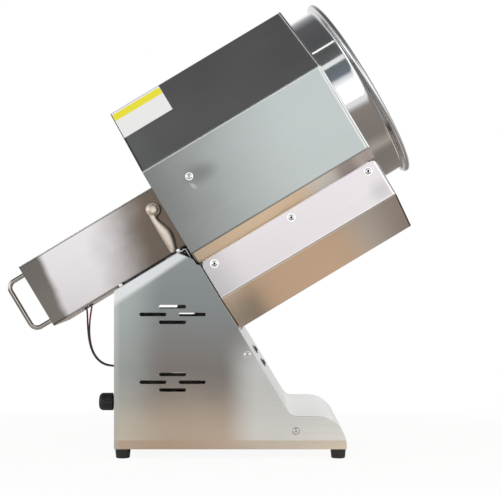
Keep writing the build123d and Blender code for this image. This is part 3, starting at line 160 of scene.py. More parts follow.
class Tree:
    """Adds nodes to one node tree."""

    def __init__(self, group):
        self.group = group

    def node(self, kind, inputs=None, stops=(), **settings):
        """New node: its settings and a ramp's stops first, then the values or links of its sockets."""
        made = self.group.nodes.new(kind)
        for name, value in settings.items():
            setattr(made, name, value)
        if stops:
            elements = made.color_ramp.elements
            while len(elements) < len(stops):
                elements.new(0.5)
            for element, (place, shade) in zip(elements, stops):
                element.position = place
                element.color = self.colour(shade)
        for key, value in (inputs or {}).items():
            self.feed(made.inputs[key], value)
        return made

    def add(self, kind, inputs=None, output=0, **settings):
        """One output of a new node as a field."""
        return Field(self, self.node(kind, inputs, **settings).outputs[output])

    def feed(self, socket, value):
        if isinstance(value, Field):
            self.group.links.new(value.socket, socket)
        else:
            socket.default_value = value

    def axes(self, vector):
        """The three parts of a vector as fields."""
        return [Field(self, part) for part in self.node("ShaderNodeSeparateXYZ", {0: vector}).outputs]

    def rays(self, *kinds):
        """Fields that are 1 for rays of the given kinds."""
        path = self.node("ShaderNodeLightPath")
        return [Field(self, path.outputs[f"Is {kind} Ray"]) for kind in kinds]

    @staticmethod
    def colour(value):
        return value if isinstance(value, Field) else (*value, 1.0)

    def mix(self, share, first, second):
        """Colour between two colours."""
        inputs = {0: share, 6: self.colour(first), 7: self.colour(second)}
        return self.add("ShaderNodeMix", inputs, output=2, data_type="RGBA")

    def layered(self, base, *layers):
        """Colour with others laid over it in turn, each with its share."""
        for share, shade in layers:
            base = self.mix(share, base, shade)
        return base

    def graded(self, field, first, *changes):
        """Colour along a field: the first one, then each change's own, from its low to its high end."""
        return self.layered(first, *((field.step(low, high), shade) for low, high, shade in changes))


class Finish(Tree):
    """One material, and the place that its patterns read: along the head's axes or upright."""

    def __init__(self, name, on_head=False):
        self.material = bpy.data.materials.new(name)
        self.material.use_nodes = True
        super().__init__(self.material.node_tree)
        self.shader = next(node for node in self.group.nodes if node.type == "BSDF_PRINCIPLED")
        self.upright = self.add("ShaderNodeTexCoord", output="Object")
        self.place = self.head_frame() if on_head else self.upright

    def head_frame(self):
        """Object coordinates turned into the head's own axes."""
        inputs = {"Vector": self.upright, "Location": HEAD.translation, "Rotation": HEAD.to_euler()}
        return self.add("ShaderNodeMapping", inputs, vector_type="TEXTURE")

    def noise(self, lumps, detail=2.0, rough=0.5, at=None):
        """Noise from 0 to 1, with one count of lumps per metre or one for each axis."""
        scale = lumps if isinstance(lumps, tuple) else (lumps, lumps, lumps)
        scaled = self.add("ShaderNodeMapping", {"Vector": at or self.place, "Scale": scale})
        inputs = {"Vector": scaled, "Scale": 1.0, "Detail": detail, "Roughness": rough}
        return self.add("ShaderNodeTexNoise", inputs)

    def blur(self, lumps):
        """Soft noise about 0, to make a pattern's edge uneven."""
        return self.noise(lumps, detail=3.0) - 0.5

    def tone(self, shade, strength):
        """Colour made lighter or darker by a field."""
        return self.add("ShaderNodeVectorMath", {0: shade, "Scale": strength}, operation="SCALE")

    def bevel(self, radius):
        return self.add("ShaderNodeBevel", {"Radius": radius}, samples=4)

    def edges(self, rounded):
        """1 on the rounded edges of a sheet and 0 on its flats."""
        true_normal = self.add("ShaderNodeNewGeometry", output="Normal")
        inputs = {0: rounded, 1: true_normal}
        facing = self.add("ShaderNodeVectorMath", inputs, output="Value", operation="DOT_PRODUCT")
        return (1.0 - facing).step(0.004, 0.12)

    def bump(self, height, depth, normal=None):
        inputs = {"Height": height, "Strength": 1.0, "Distance": depth}
        if normal:
            inputs["Normal"] = normal
        return self.add("ShaderNodeBump", inputs)

    def set(self, **sockets):
        """Values or links of the surface shader, with _ for spaces in a socket's name."""
        for name, value in sockets.items():
            self.feed(self.shader.inputs[name.replace("_", " ")], value)
        return self.material


# Finishes

# Painted highlight on the rounded edges and bends of sheets
SHEET_EDGE_HIGHLIGHT = (0.88, 0.88, 0.87)
FITTING_EDGE = (0.80, 0.80, 0.79)
# Grime and painted shade in the hollows of fittings
GRIME_AND_SHADE = (0.015, 0.014, 0.013)
# Inside of the drum: painted shade, light at its mouth and dark at its depth
DRUM_DEPTH = (0.56, 0.55, 0.535)
DRUM_MOUTH = (0.81, 0.805, 0.80)


def brushed_sheet(name, rough, paint, on_head=True, dent=None, bends=None):
    """Brushed stainless sheet: fine lines along the sheet, soft blotches, and a painted highlight on its bends and
    rounded edges.
    """
    finish = Finish(name, on_head)
    lines = finish.noise((14, 700, 700), detail=3.0, rough=0.7)
    scratches = finish.noise((5, 160, 160))
    cloud = finish.noise((7, 9, 9), rough=0.45)
    tone = 0.93 + lines.swing(0.07) + scratches.swing(0.05) + cloud.swing(0.12)
    base = finish.tone(paint(finish), tone)
    rounded = finish.bevel(1.4 * MM)
    edge = finish.edges(rounded)
    if bends:
        edge = edge.math("MAXIMUM", bends(finish))
    normal = finish.bump(lines * 0.6 + scratches * 0.4, 0.012 * MM, rounded)
    if dent:
        normal = finish.bump(dent(finish), 1.0, normal)
    # The base colour turns towards the edge colour on edges and bends: a painted highlight
    return finish.set(
        Base_Color=finish.mix(edge * 0.7, base, SHEET_EDGE_HIGHLIGHT), Metallic=1.0, Normal=normal,
        Roughness=rough + cloud.swing(0.10) + lines.swing(0.08) - 0.10 * edge,
    )


def polished_steel(name, shade, rough):
    """Mirror-polished sheet with faint turning lines, duller on its rim, satin inside with painted shade that
    darkens it towards the rear.
    """
    finish = Finish(name, on_head=True)
    x, y, z = finish.axes(finish.place)
    radius = distance(y, z)
    rim = x.step(DRUM_FLARE, DRUM_FLARE + 4 * MM)
    inside = radius.fall(DRUM_OUTER - 0.9 * MM, DRUM_OUTER - 0.4 * MM)
    rings = finish.noise((900, 1, 1), at=finish.add("ShaderNodeCombineXYZ", {"X": x + radius}))
    haze = finish.noise(16, detail=3.0)
    outer = finish.tone(shade, 0.97 + haze.swing(0.06))
    # Painted shade: the inside darkens from the mouth towards the rear
    inside_shade = finish.graded(x, DRUM_DEPTH, (0.0, 0.38, DRUM_MOUTH))
    inside_shade = finish.tone(inside_shade, 0.95 + haze.swing(0.25) + rings.swing(0.12))
    return finish.set(
        Base_Color=finish.mix(inside, outer, inside_shade), Metallic=1.0,
        Roughness=rough + 0.05 * haze.step(0.45, 0.75) + 0.20 * rim + 0.20 * inside,
        Normal=finish.bump(rings * (1.0 + 5.0 * inside), 0.0016 * MM),
    )


def plain_metal(name, shade, rough, lumps=60, depth=0.05 * MM):
    """Bright or dull metal of a small fitting, with fine unevenness, worn edges, and hollows darkened by grime and
    painted shade.
    """
    finish = Finish(name)
    lump = finish.noise(lumps, detail=4.0)
    fine = finish.noise(900)
    rounded = finish.bevel(0.5 * MM)
    grime_and_shade = finish.add("ShaderNodeAttribute", output="Fac", attribute_name="grime_and_shade")
    base = finish.tone(shade, 0.92 + lump.swing(0.22))
    return finish.set(
        Base_Color=finish.layered(base, (finish.edges(rounded) * 0.5, FITTING_EDGE), (grime_and_shade, GRIME_AND_SHADE)),
        Metallic=1.0, Roughness=rough + lump.swing(0.14) + fine.swing(0.06) + 0.3 * grime_and_shade,
        Normal=finish.bump(lump * 0.7 + fine * 0.3, depth, rounded),
    )


def moulded(name, shade, rough, grain=1.0):
    """Moulded plastic or rubber with a fine matt grain."""
    finish = Finish(name)
    grains = finish.noise(1400)
    lump = finish.noise(90, detail=3.0)
    rounded = finish.bevel(0.6 * MM)
    return finish.set(
        Base_Color=finish.tone(shade, 1.0 + lump.swing(0.1) + grains.swing(0.1)),
        Roughness=rough + lump.swing(0.12),
        Normal=finish.bump(grains * 0.5 + lump * 0.5, 0.06 * MM * grain, rounded),
    )


def fibre_mat(name, shade):
    """Pressed mineral wool."""
    finish = Finish(name)
    fibres = finish.noise((900, 260, 500), detail=6.0, rough=0.7)
    tufts = finish.noise(80, detail=3.0)
    return finish.set(
        Base_Color=finish.tone(shade, 0.75 + 0.35 * fibres + tufts.swing(0.2)), Roughness=0.95,
        Normal=finish.bump(fibres * 0.6 + tufts * 0.4, 1.2 * MM),
    )


def wire_skin(name, shade):
    """Glossy extruded insulation, with fine draw lines along the wire's own length."""
    finish = Finish(name)
    along = finish.add("ShaderNodeUVMap", uv_map="length")
    lines = finish.noise((60, 120, 1), at=along)
    return finish.set(
        Base_Color=finish.tone(shade, 0.85 + 0.3 * lines), Roughness=0.34 + 0.1 * lines,
        Normal=finish.bump(lines, 0.03 * MM),
    )


def patch(first, second, at, size):
    """1 at the middle of an oval patch, fading to 0 at its rim."""
    return distance(first, second, at, size).fall(0.1, 1.0)


def bend_line(finish, half, height, reach):
    """1 along a sheet's bends at a half-width and a height, fading to 0 at a reach."""
    _, y, z = finish.axes(finish.place)
    return distance(abs(y), z, (half, height)).fall(reach * 0.4, reach)


# Hood tones: the sides' dark rear and light front, the patches by the screws and the lips' warm tones are painted
# reflection, light and shade
HOOD_TONES = SimpleNamespace(
    rear=(0.165, 0.168, 0.163), ahead=(0.505, 0.55, 0.54),
    dent_shade=(0.13, 0.135, 0.13), shine=(0.70, 0.73, 0.72),
    slope_rear=(0.64, 0.64, 0.63), slope=(0.56, 0.55, 0.545),
    lip_rear=(0.95, 0.79, 0.61), lip_light=(0.95, 0.94, 0.92),
    lip_shade=(0.62, 0.57, 0.56), lip_front=(0.88, 0.81, 0.80),
)


def hood_paint(finish):
    """Painted reflection on the sides: light in front, darker to the rear, with painted shade and a painted
    highlight by the dented screws; even slopes; lips in painted warm reflection with painted light and shade.
    """
    tones = HOOD_TONES
    x, _, z = finish.axes(finish.place)
    blur = finish.blur((9, 14, 14))
    screw_x, screw_z = HOOD_SCREW
    # Painted shade and a painted highlight beside each screw's dent
    dent_shade_at = (screw_x + 19 * MM, screw_z - 3 * MM)
    dent_shade = patch(x + 0.02 * blur, z + 0.02 * blur, dent_shade_at, (40 * MM, 24 * MM))
    shine_at = (screw_x + 0.3 * screw_z - 7 * MM, screw_z - 16 * MM)
    shine = patch(x + 0.3 * z, z, shine_at, (5 * MM, 9 * MM))
    off_rear = x.step(2 * MM, 4 * MM)
    slope = z.step(HOOD_SHOULDER - 1 * MM, HOOD_SHOULDER + 1 * MM) * off_rear
    lip = z.fall(HOOD_LOW - 2 * MM, HOOD_LOW) * off_rear
    warm = finish.graded(
        x, tones.lip_rear, (0.185, 0.235, tones.lip_light), (0.252, 0.274, tones.lip_shade),
        (0.285, 0.305, tones.lip_front),
    )
    return finish.layered(
        finish.graded(x - 0.25 * z + 0.05 * blur, tones.rear, (-0.08, 0.27, tones.ahead)),
        (dent_shade * 0.5, tones.dent_shade),
        (shine * 0.4, tones.shine),
        (slope, finish.graded(x, tones.slope_rear, (0.0, 0.06, tones.slope))),
        (lip, warm),
    )


def hood_bends(finish):
    """Painted highlights: bright lines along the hood's shoulder bends and a paler strip at its rolled front edge.
    """
    x, _, _ = finish.axes(finish.place)
    shoulder = bend_line(finish, HOOD_HALF, HOOD_SHOULDER, 2.8 * MM)
    front = x.step(HOOD_FRONT - 8 * MM, HOOD_FRONT - 5 * MM)
    return (shoulder * 0.7).math("MAXIMUM", front * 0.6)


def hood_dent(finish):
    """Shallow dents round the two screws that pull the hood's sides in."""
    x, _, z = finish.axes(finish.place)
    return distance(x, z, HOOD_SCREW).step(0.0, 28 * MM, 0.0, 0.9 * MM)


# Tray tones: the slopes' warm tones are painted reflection; the flange's shade patch is painted shade, its glint a
# painted highlight, and the dark line at the front edges painted shadow
TRAY_TONES = SimpleNamespace(
    flange_rear=(0.52, 0.50, 0.515), flange=(0.68, 0.645, 0.66),
    shade=(0.36, 0.36, 0.365), glint=(0.95, 0.95, 0.95),
    slope_rear=(0.79, 0.65, 0.52), slope=(0.64, 0.50, 0.385),
    slope_ahead=(0.60, 0.555, 0.52), slope_front=(0.575, 0.515, 0.48),
    seam=(0.05, 0.043, 0.038),
)


def tray_paint(finish):
    """Pinkish flanges with painted shade and a painted highlight at their front ends; slopes in painted warm
    reflection, warm in the middle and greyer ahead; painted shadow along the front corners.
    """
    tones = TRAY_TONES
    x, _, z = finish.axes(finish.place)
    from_front = x - TRAY_FRONT
    blur = finish.blur(14)
    # Painted shade at the flange's lower front, a painted highlight inside its front edge, and painted shadow
    # along the front edges
    shade = patch(from_front, z, (-16 * MM, FLANGE_LOW + 16 * MM), (30 * MM, 28 * MM))
    glint = from_front.window((-5.2 * MM, -4.2 * MM), (-2.5 * MM, -2.0 * MM))
    seam = from_front.window((-2.7 * MM, -2.2 * MM), (-1.0 * MM, 0.0))
    dark_line_strength = z.step(FLANGE_LOW, FLANGE_LOW + 2 * MM, 0.95, 0.6)
    flange = finish.layered(
        finish.graded(x, tones.flange_rear, (0.0, 0.07, tones.flange)),
        (shade * 0.4, tones.shade),
        (glint * 0.8, tones.glint),
    )
    return finish.layered(
        tones.slope,
        ((x + 0.05 * blur).step(0.20, 0.27), tones.slope_ahead),
        ((x + 0.02 * blur).step(0.275, 0.315), tones.slope_front),
        (x.fall(0.015, 0.055), tones.slope_rear),
        (z.step(FLANGE_LOW - 1 * MM, FLANGE_LOW + 1 * MM), flange),
        (seam * dark_line_strength, tones.seam),
    )


def tray_bends(finish):
    """Painted highlight: a bright line along the bend between the tray's flange and its slope."""
    return bend_line(finish, FLANGE_HALF, FLANGE_LOW, 3.0 * MM)


# Motor box tones: the brown beside the hood and the grey at the rear end are painted reflection, the light
# underside painted light
BOX_TONES = SimpleNamespace(
    bright=(0.71, 0.685, 0.695), brown_reflection=(0.135, 0.108, 0.085),
    rear_low=(0.195, 0.183, 0.163), rear_high=(0.147, 0.133, 0.122),
    seam=(0.05, 0.047, 0.044), underside=(0.93, 0.93, 0.925),
)


def box_paint(finish):
    """Bright motor box; on its sides a painted brown reflection beside the hood and a painted grey one at their
    rear end; painted light on its underside.
    """
    tones = BOX_TONES
    x, y, z = finish.axes(finish.place)
    blur = finish.blur((20, 24, 24))
    side = abs(y).step(BOX_HALF - 2.5 * MM, BOX_HALF - 1 * MM)
    brown_reflection = (x - 0.30 * z + 0.035 * blur).step(-0.150, -0.028)
    rear = (x - 0.10 * z + 0.012 * blur).fall(BOX_REAR + 28 * MM, BOX_REAR + 43 * MM)
    seam = (z - BOX_TOP).window((-3.4 * MM, -2.8 * MM), (-1.6 * MM, -1.2 * MM))
    underside = z.fall(BOX_LOW + 0.3 * MM, BOX_LOW + 0.8 * MM)
    return finish.layered(
        tones.bright,
        (brown_reflection * (0.35 + 0.65 * side), tones.brown_reflection),
        (rear * (0.2 + 0.8 * side), finish.graded(z, tones.rear_low, (-0.075, 0.025, tones.rear_high))),
        (seam * side * 0.6, tones.seam),
        (underside * 0.9, tones.underside),
    )


def box_bends(finish):
    """Painted highlight: a thin bright line along the motor box's upper edges."""
    return bend_line(finish, BOX_HALF, BOX_TOP, 1.3 * MM)


# Pedestal tones are painted reflection: bluish above and warm by the floor; the lighter ends, hem, rear edge, top
# band and front panel are painted light
PEDESTAL_TONES = SimpleNamespace(
    lower=(0.288, 0.27, 0.257), upper=(0.278, 0.30, 0.303), by_floor=(0.70, 0.58, 0.47),
    rear=(0.485, 0.54, 0.53), rear_by_floor=(0.78, 0.75, 0.64), rear_edge=(0.66, 0.68, 0.65),
    toe=(0.76, 0.78, 0.76), toe_by_floor=(0.95, 0.96, 0.93),
    hem_rear=(0.65, 0.48, 0.36), hem=(0.79, 0.675, 0.55),
    top_band=(0.84, 0.85, 0.845), front_panel=(0.74, 0.745, 0.74),
)


def pedestal_paint(finish):
    """Painted reflection and light: bluish grey above, warmer by the floor, lighter at both ends, along its hem,
    its rear edge, its top band and on its front panel.
    """
    tones = PEDESTAL_TONES
    x, y, z = finish.axes(finish.place)
    head_x, _, head_z = finish.axes(finish.head_frame())
    blur = finish.blur(8)
    low = (z + 0.05 * blur).fall(0.035, 0.145)
    rear = (x + 0.05 * blur).fall(PED_BACK + 8 * MM, PED_BACK + 85 * MM)
    toe = (x + 0.03 * blur).step(0.022, 0.085) * (z + 0.03 * blur).fall(0.14, 0.215)
    hem = z.fall(0.0275, 0.0305) * (0.75 + 0.5 * blur)
    rear_edge = x.fall(PED_BACK + 3 * MM, PED_BACK + 11 * MM)
    top_band = (head_z - 0.05 * head_x).step(PED_TOP - 17 * MM, PED_TOP - 8 * MM)
    inner = abs(y).fall(PED_INNER + 0.2 * MM, PED_INNER + 0.7 * MM)
    front_panel = inner * head_x.step(PED_SLOPE - 1 * MM, PED_SLOPE) * z.step(0.085, 0.125)
    return finish.layered(
        finish.graded(z + 0.06 * blur, tones.lower, (0.14, 0.25, tones.upper)),
        (low, tones.by_floor),
        (rear * 0.85, finish.mix(low, tones.rear, tones.rear_by_floor)),
        (toe, finish.mix(low, tones.toe, tones.toe_by_floor)),
        (hem, finish.graded(x, tones.hem_rear, (-0.10, 0.15, tones.hem))),
        (rear_edge * 0.6, tones.rear_edge),
        (top_band * 0.9, tones.top_band),
        (front_panel * 0.9, tones.front_panel),
    )


LABEL_TONES = SimpleNamespace(
    white=(0.95, 0.95, 0.945), yellow=(0.95, 0.86, 0.025), rim=(0.80, 0.79, 0.77),
)


def label_film(name):
    """White film with a plain yellow band, slightly soiled at its rim."""
    finish = Finish(name)
    spot = finish.add("ShaderNodeUVMap", uv_map="label")
    u, v, _ = finish.axes(spot)
    mottle = finish.noise((40, 26, 1), detail=3.0, at=spot)
    off_rim = (u * (1.0 - u)).step(0.0, 0.010) * (v * (1.0 - v)).step(0.0, 0.012)
    band = v.window((0.685, 0.695), (0.935, 0.945))
    film = finish.mix(band, LABEL_TONES.white, LABEL_TONES.yellow)
    base = finish.mix(off_rim, LABEL_TONES.rim, film)
    return finish.set(
        Base_Color=finish.tone(base, 0.97 + mottle.swing(0.06)), Roughness=0.38 + mottle.swing(0.1),
        Normal=finish.bump(mottle, 0.04 * MM),
    )


FINISHES = {
    "pedestal_steel": brushed_sheet("pedestal_sheet", 0.34, pedestal_paint, on_head=False),
    "hood_steel": brushed_sheet("hood_sheet", 0.33, hood_paint, dent=hood_dent, bends=hood_bends),
    "tray_steel": brushed_sheet("tray_sheet", 0.25, tray_paint, bends=tray_bends),
    "motor_box_steel": brushed_sheet("motor_box_sheet", 0.25, box_paint, bends=box_bends),
    "edge_steel": plain_metal("rolled_edge", (0.84, 0.84, 0.83), 0.24, lumps=40, depth=0.01 * MM),
    "label_film": label_film("label_film"),
    "print_black": moulded("black_print", (0.025, 0.025, 0.027), 0.5, grain=0.2),
    "print_white": moulded("white_print", (0.80, 0.80, 0.78), 0.5, grain=0.2),
    "drum_steel": polished_steel("drum_polish", (0.74, 0.74, 0.74), 0.07),
    "handle_steel": plain_metal("handle_chrome", (0.48, 0.465, 0.435), 0.05, lumps=30, depth=0.004 * MM),
    "fastener_steel": plain_metal("fastener_steel", (0.90, 0.90, 0.89), 0.16, depth=0.02 * MM),
    "cast_lever": plain_metal("lever_casting", (0.91, 0.81, 0.70), 0.40, lumps=160, depth=0.10 * MM),
    "inner_steel": plain_metal("inner_zinc", (0.50, 0.50, 0.51), 0.42),
    "motor_alloy": plain_metal("motor_casting", (0.55, 0.56, 0.58), 0.48, lumps=220, depth=0.12 * MM),
    "gear_steel": plain_metal("gear_steel", (0.36, 0.36, 0.37), 0.38),
    "tube_steel": plain_metal("heater_tube", (0.24, 0.21, 0.20), 0.50),
    "ceramic": moulded("terminal_ceramic", (0.86, 0.84, 0.78), 0.35),
    "mineral_wool": fibre_mat("mineral_wool", (0.84, 0.81, 0.72)),
    "black_rubber": moulded("black_rubber", (0.030, 0.028, 0.027), 0.62),
    "black_plastic": moulded("black_nylon", (0.011, 0.011, 0.012), 0.48),
    "switch_black": moulded("switch_plastic", (0.07, 0.07, 0.072), 0.14, grain=0.08),
    "cream_plastic": moulded("cream_plastic", (0.78, 0.75, 0.66), 0.45),
    "blue_insulation": wire_skin("blue_insulation", (0.016, 0.055, 0.105)),
    "red_insulation": wire_skin("red_insulation", (0.38, 0.03, 0.045)),
}


def dress_frame():
    """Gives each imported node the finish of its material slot."""
    slots = {part["node"]: part["material_slot"] for part in frame["record"]["subparts"]}
    for node, piece in frame["nodes"].items():
        piece.data.materials.clear()
        piece.data.materials.append(FINISHES[slots[node]])


# Meshes

def new_object(name, data):
    """Object at the origin, linked into the scene."""
    made = bpy.data.objects.new(name, data)
    bpy.context.scene.collection.objects.link(made)
    return made


def plain_mesh(holder):
    """Mesh of an object as its curve or its modifiers leave it. The object is removed."""
    graph = bpy.context.evaluated_depsgraph_get()
    mesh = bpy.data.meshes.new_from_object(holder.evaluated_get(graph))
    holder.modifiers.clear()
    bpy.data.objects.remove(holder)
    return mesh


def as_mesh(built, name):
    """Mesh of a finished build, with its faces turned outwards."""
    bmesh.ops.recalc_face_normals(built, faces=built.faces)
    mesh = bpy.data.meshes.new(name)
    built.to_mesh(mesh)
    built.free()
    return mesh


def outward(mesh):
    """Merges doubles and turns all faces outwards."""
    built = bmesh.new()
    built.from_mesh(mesh)
    bmesh.ops.remove_doubles(built, verts=built.verts, dist=1e-7)
    bmesh.ops.recalc_face_normals(built, faces=built.faces)
    built.to_mesh(mesh)
    built.free()
    return mesh


def dressed(mesh, finish):
    """Mesh in one finish."""
    mesh.materials.append(FINISHES[finish])
    return mesh


def joined(name, finish, *meshes):
    """One mesh from several, in one finish."""
    built = bmesh.new()
    for mesh in meshes:
        built.from_mesh(mesh)
    return dressed(as_mesh(built, name), finish)


def placed(mesh, place):
    """Moves a mesh's points to their place in the frame."""
    mesh.transform(place)
    mesh.update()
    return mesh


def shaded(mesh, angle=35):
    """Smooth shading, with sharp edges where faces meet at more than an angle."""
    mesh.shade_smooth()
    mesh.set_sharp_from_angle(angle=math.radians(angle))
    return mesh


def line_mesh(points, closed=False):
    """Mesh of a line's points and edges."""
    edges = [(i, i + 1) for i in range(len(points) - 1)]
    if closed:
        edges.append((len(points) - 1, 0))
    mesh = bpy.data.meshes.new("line")
    mesh.from_pydata(points, edges, [])
    return mesh


def turns(sides):
    """Angles of a ring's points."""
    return [2 * math.pi * step / sides for step in range(sides)]


def skin(built, rings):
    """Faces from ring to ring and over both ends. Gives back the former, row by row."""
    walls = []
    for ring, following in zip(rings, rings[1:]):
        for step in range(len(ring)):
            after = (step + 1) % len(ring)
            wall = (ring[step], ring[after], following[after], following[step])
            walls.append(built.faces.new(wall))
    built.faces.new(reversed(rings[0]))
    built.faces.new(rings[-1])
    return walls


def turned(section, sides=36):
    """Section turned round the Z axis. Its rows: radius, height, 1 where hexagonal, share of grime and painted
    shade.
    """
    sixth = math.pi / 3
    built = bmesh.new()
    rings = []
    grime_and_shade = []
    for radius, height, *marks in section:
        hexagonal, dark = (*marks, 0, 0)[:2]
        grime_and_shade += [dark] * sides
        ring = []
        for turn in turns(sides):
            reach = radius
            if hexagonal:
                reach = radius * math.cos(sixth / 2) / math.cos(turn % sixth - sixth / 2)
            ring.append(built.verts.new((reach * math.cos(turn), reach * math.sin(turn), height)))
        rings.append(ring)
    skin(built, rings)
    mesh = as_mesh(built, "turned")
    mesh.attributes.new("grime_and_shade", "FLOAT", "POINT").data.foreach_set("value", grime_and_shade)
    return shaded(mesh)


def clumps(node):
    """Lowest and highest corners of a node's separate solids, in a fixed order."""
    built = bmesh.new()
    built.from_mesh(frame["nodes"][node].data)
    bmesh.ops.remove_doubles(built, verts=built.verts, dist=1e-6)
    waiting = set(built.verts)
    boxes = []
    while waiting:
        group = [waiting.pop()]
        for vertex in group:
            others = waiting.intersection(edge.other_vert(vertex) for edge in vertex.link_edges)
            waiting -= others
            group += others
        boxes.append(corners(vertex.co for vertex in group))
    built.free()
    return sorted(boxes, key=lambda box: [round(value, 5) for value in box[0]])


def fit(name, mesh, body, slot=None, *nodes):
    """Sets a finished mesh on its body in place of its solids. The slot is not used."""
    piece = new_object(name, mesh)
    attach(piece, body)
    if nodes:
        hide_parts(*nodes)


class Shape(Tree):
    """One geometry tree with named inputs. Its result is made a plain mesh."""

    KINDS = {float: "NodeSocketFloat", int: "NodeSocketInt", "object": "NodeSocketObject"}

    def __init__(self, name, **inputs):
        group = bpy.data.node_groups.new(name, "GeometryNodeTree")
        super().__init__(group)
        sockets = group.interface
        sockets.new_socket("Geometry", in_out="INPUT", socket_type="NodeSocketGeometry")
        sockets.new_socket("Geometry", in_out="OUTPUT", socket_type="NodeSocketGeometry")
        for label, kind in inputs.items():
            sockets.new_socket(label, in_out="INPUT", socket_type=self.KINDS[kind])
        sockets.new_socket("Finish", in_out="INPUT", socket_type="NodeSocketMaterial")
        self.source = self.node("NodeGroupInput")

    def input(self, label):
        return Field(self, self.source.outputs[label])

    def close(self, geometry):
        """Ends the tree in real meshes with the finish on them."""
        real = self.add("GeometryNodeRealizeInstances", {"Geometry": geometry})
        inputs = {"Geometry": real, "Material": self.input("Finish")}
        self.node("NodeGroupOutput", {0: self.add("GeometryNodeSetMaterial", inputs)})
        return self

    def make(self, name, start, finish, **values):
        """Plain mesh that the tree makes from a start mesh."""
        values["Finish"] = FINISHES[finish]
        holder = new_object(name, start)
        modifier = holder.modifiers.new("shape", "NODES")
        modifier.node_group = self.group
        for item in self.group.interface.items_tree:
            if item.in_out == "INPUT" and item.name in values:
                modifier[item.identifier] = values[item.name]
        mesh = plain_mesh(holder)
        bpy.data.meshes.remove(start)
        mesh.name = name
        return mesh


# Wires from the motor box to the back wall: the points of their solids, with the blue one before the red

WIRE_DIAMETER = 2.9 * MM
BLUE_ROUTE = (
    (-0.2045, -0.0500, 0.2318), (-0.2035, -0.0510, 0.2210), (-0.2030, -0.0532, 0.2050),
    (-0.2015, -0.0534, 0.1850), (-0.1976, -0.0534, 0.1660), (-0.1896, -0.0534, 0.1505),
    (-0.1776, -0.0534, 0.1402), (-0.1631, -0.0534, 0.1369), (-0.1504, -0.0534, 0.1366),
)
RED_ROUTE = (
    (-0.1959, -0.0534, 0.2365), (-0.1978, -0.0524, 0.2255), (-0.2002, -0.0502, 0.2085),
    (-0.2004, -0.0500, 0.1875), (-0.1970, -0.0500, 0.1670), (-0.1892, -0.0500, 0.1512),
    (-0.1772, -0.0500, 0.1408), (-0.1629, -0.0500, 0.1373), (-0.1504, -0.0500, 0.1366),
)


def smooth_line(route):
    """Points of the smooth line that has a route's points as its control points."""
    curve = bpy.data.curves.new("route", "CURVE")
    curve.dimensions = "3D"
    spline = curve.splines.new("NURBS")
    spline.points.add(len(route) - 1)
    for point, place in zip(spline.points, route):
        point.co = (*place, 1.0)
    spline.order_u = 3
    spline.use_endpoint_u = True
    curve.resolution_u = 8
    line = plain_mesh(new_object("route", curve))
    points = [vertex.co.copy() for vertex in line.vertices]
    bpy.data.curves.remove(curve)
    bpy.data.meshes.remove(line)
    return points


def tube(name, points, radius, sides=14):
    """Round tube along points, closed at both ends, with a map of its length in metres."""
    built = bmesh.new()
    layer = built.loops.layers.uv.new("length")
    rings = []
    lengths = [0.0]
    side_way = ACROSS
    for i, point in enumerate(points):
        before = points[max(i - 1, 0)]
        after = points[min(i + 1, len(points) - 1)]
        ahead = (after - before).normalized()
        side_way = (side_way - ahead * side_way.dot(ahead)).normalized()
        other_way = ahead.cross(side_way)
        ways = [math.cos(turn) * side_way + math.sin(turn) * other_way for turn in turns(sides)]
        rings.append([built.verts.new(point + radius * way) for way in ways])
        lengths.append(lengths[-1] + (after - point).length)
    for i, face in enumerate(skin(built, rings)):
        face.smooth = True
        row, column = divmod(i, sides)
        spots = ((row, column), (row, column + 1), (row + 1, column + 1), (row + 1, column))
        for loop, (along, around) in zip(face.loops, spots):
            loop[layer].uv = (lengths[along], around / sides * radius)
    return as_mesh(built, name)


def wire(name, route, node, slot):
    """Insulated wire on a curved route from the head to the pedestal."""
    path = smooth_line(route)
    piece = new_object(name, dressed(tube(name, path, WIRE_DIAMETER / 2), slot))
    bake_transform(piece)
    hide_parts(node)


# Repeated fittings

SOCKET_R = 2.1 * MM
# The last value of a screw's form is its share of grime and painted shade deep in its socket
TRAY_SCREW = {
    "washer_r": 7.2 * MM, "washer": 0.8 * MM, "head_r": 4.9 * MM, "head": 2.4 * MM, "grime_and_shade": 1.0,
}
SIDE_SCREW = {
    "washer_r": 6.4 * MM, "washer": 0.6 * MM, "head_r": 4.7 * MM, "head": 1.8 * MM, "grime_and_shade": 0.5,
}
TOP_BOLT = {"washer_r": 7.6 * MM, "washer": 0.8 * MM, "corner_r": 5.9 * MM}
FOOT_TAPER = 0.88
FOOT_RIBS = 7
RIB_DEPTH = 0.35 * MM
RIB_SECTION = ((0.08, 0.0), (0.42, 0.0), (0.50, RIB_DEPTH), (0.92, RIB_DEPTH))


def fitting_tree():
    """Sets a fitting on each point, square to its surface and turned by chance about its own axis."""
    tree = Shape("fittings", **{"Fitting": "object", "Turn Seed": int})
    fitting = tree.add("GeometryNodeObjectInfo", {"Object": tree.input("Fitting")}, output="Geometry")
    way = tree.add("GeometryNodeInputNamedAttribute", {"Name": "way"}, data_type="FLOAT_VECTOR")
    stand = tree.add("FunctionNodeAlignRotationToVector", {"Vector": way}, axis="Z")
    chance = {2: 0.0, 3: 2 * math.pi, "Seed": tree.input("Turn Seed")}
    turn = tree.add("FunctionNodeRandomValue", chance, output=1, data_type="FLOAT")
    turn = tree.add("ShaderNodeCombineXYZ", {"Z": turn})
    turn = tree.add("FunctionNodeEulerToRotation", {"Euler": turn})
    inputs = {"Rotation": stand, "Rotate By": turn}
    stand = tree.add("FunctionNodeRotateRotation", inputs, rotation_space="LOCAL")
    inputs = {"Points": tree.input("Geometry"), "Instance": fitting, "Rotation": stand}
    return tree.close(tree.add("GeometryNodeInstanceOnPoints", inputs))


FITTINGS = fitting_tree()


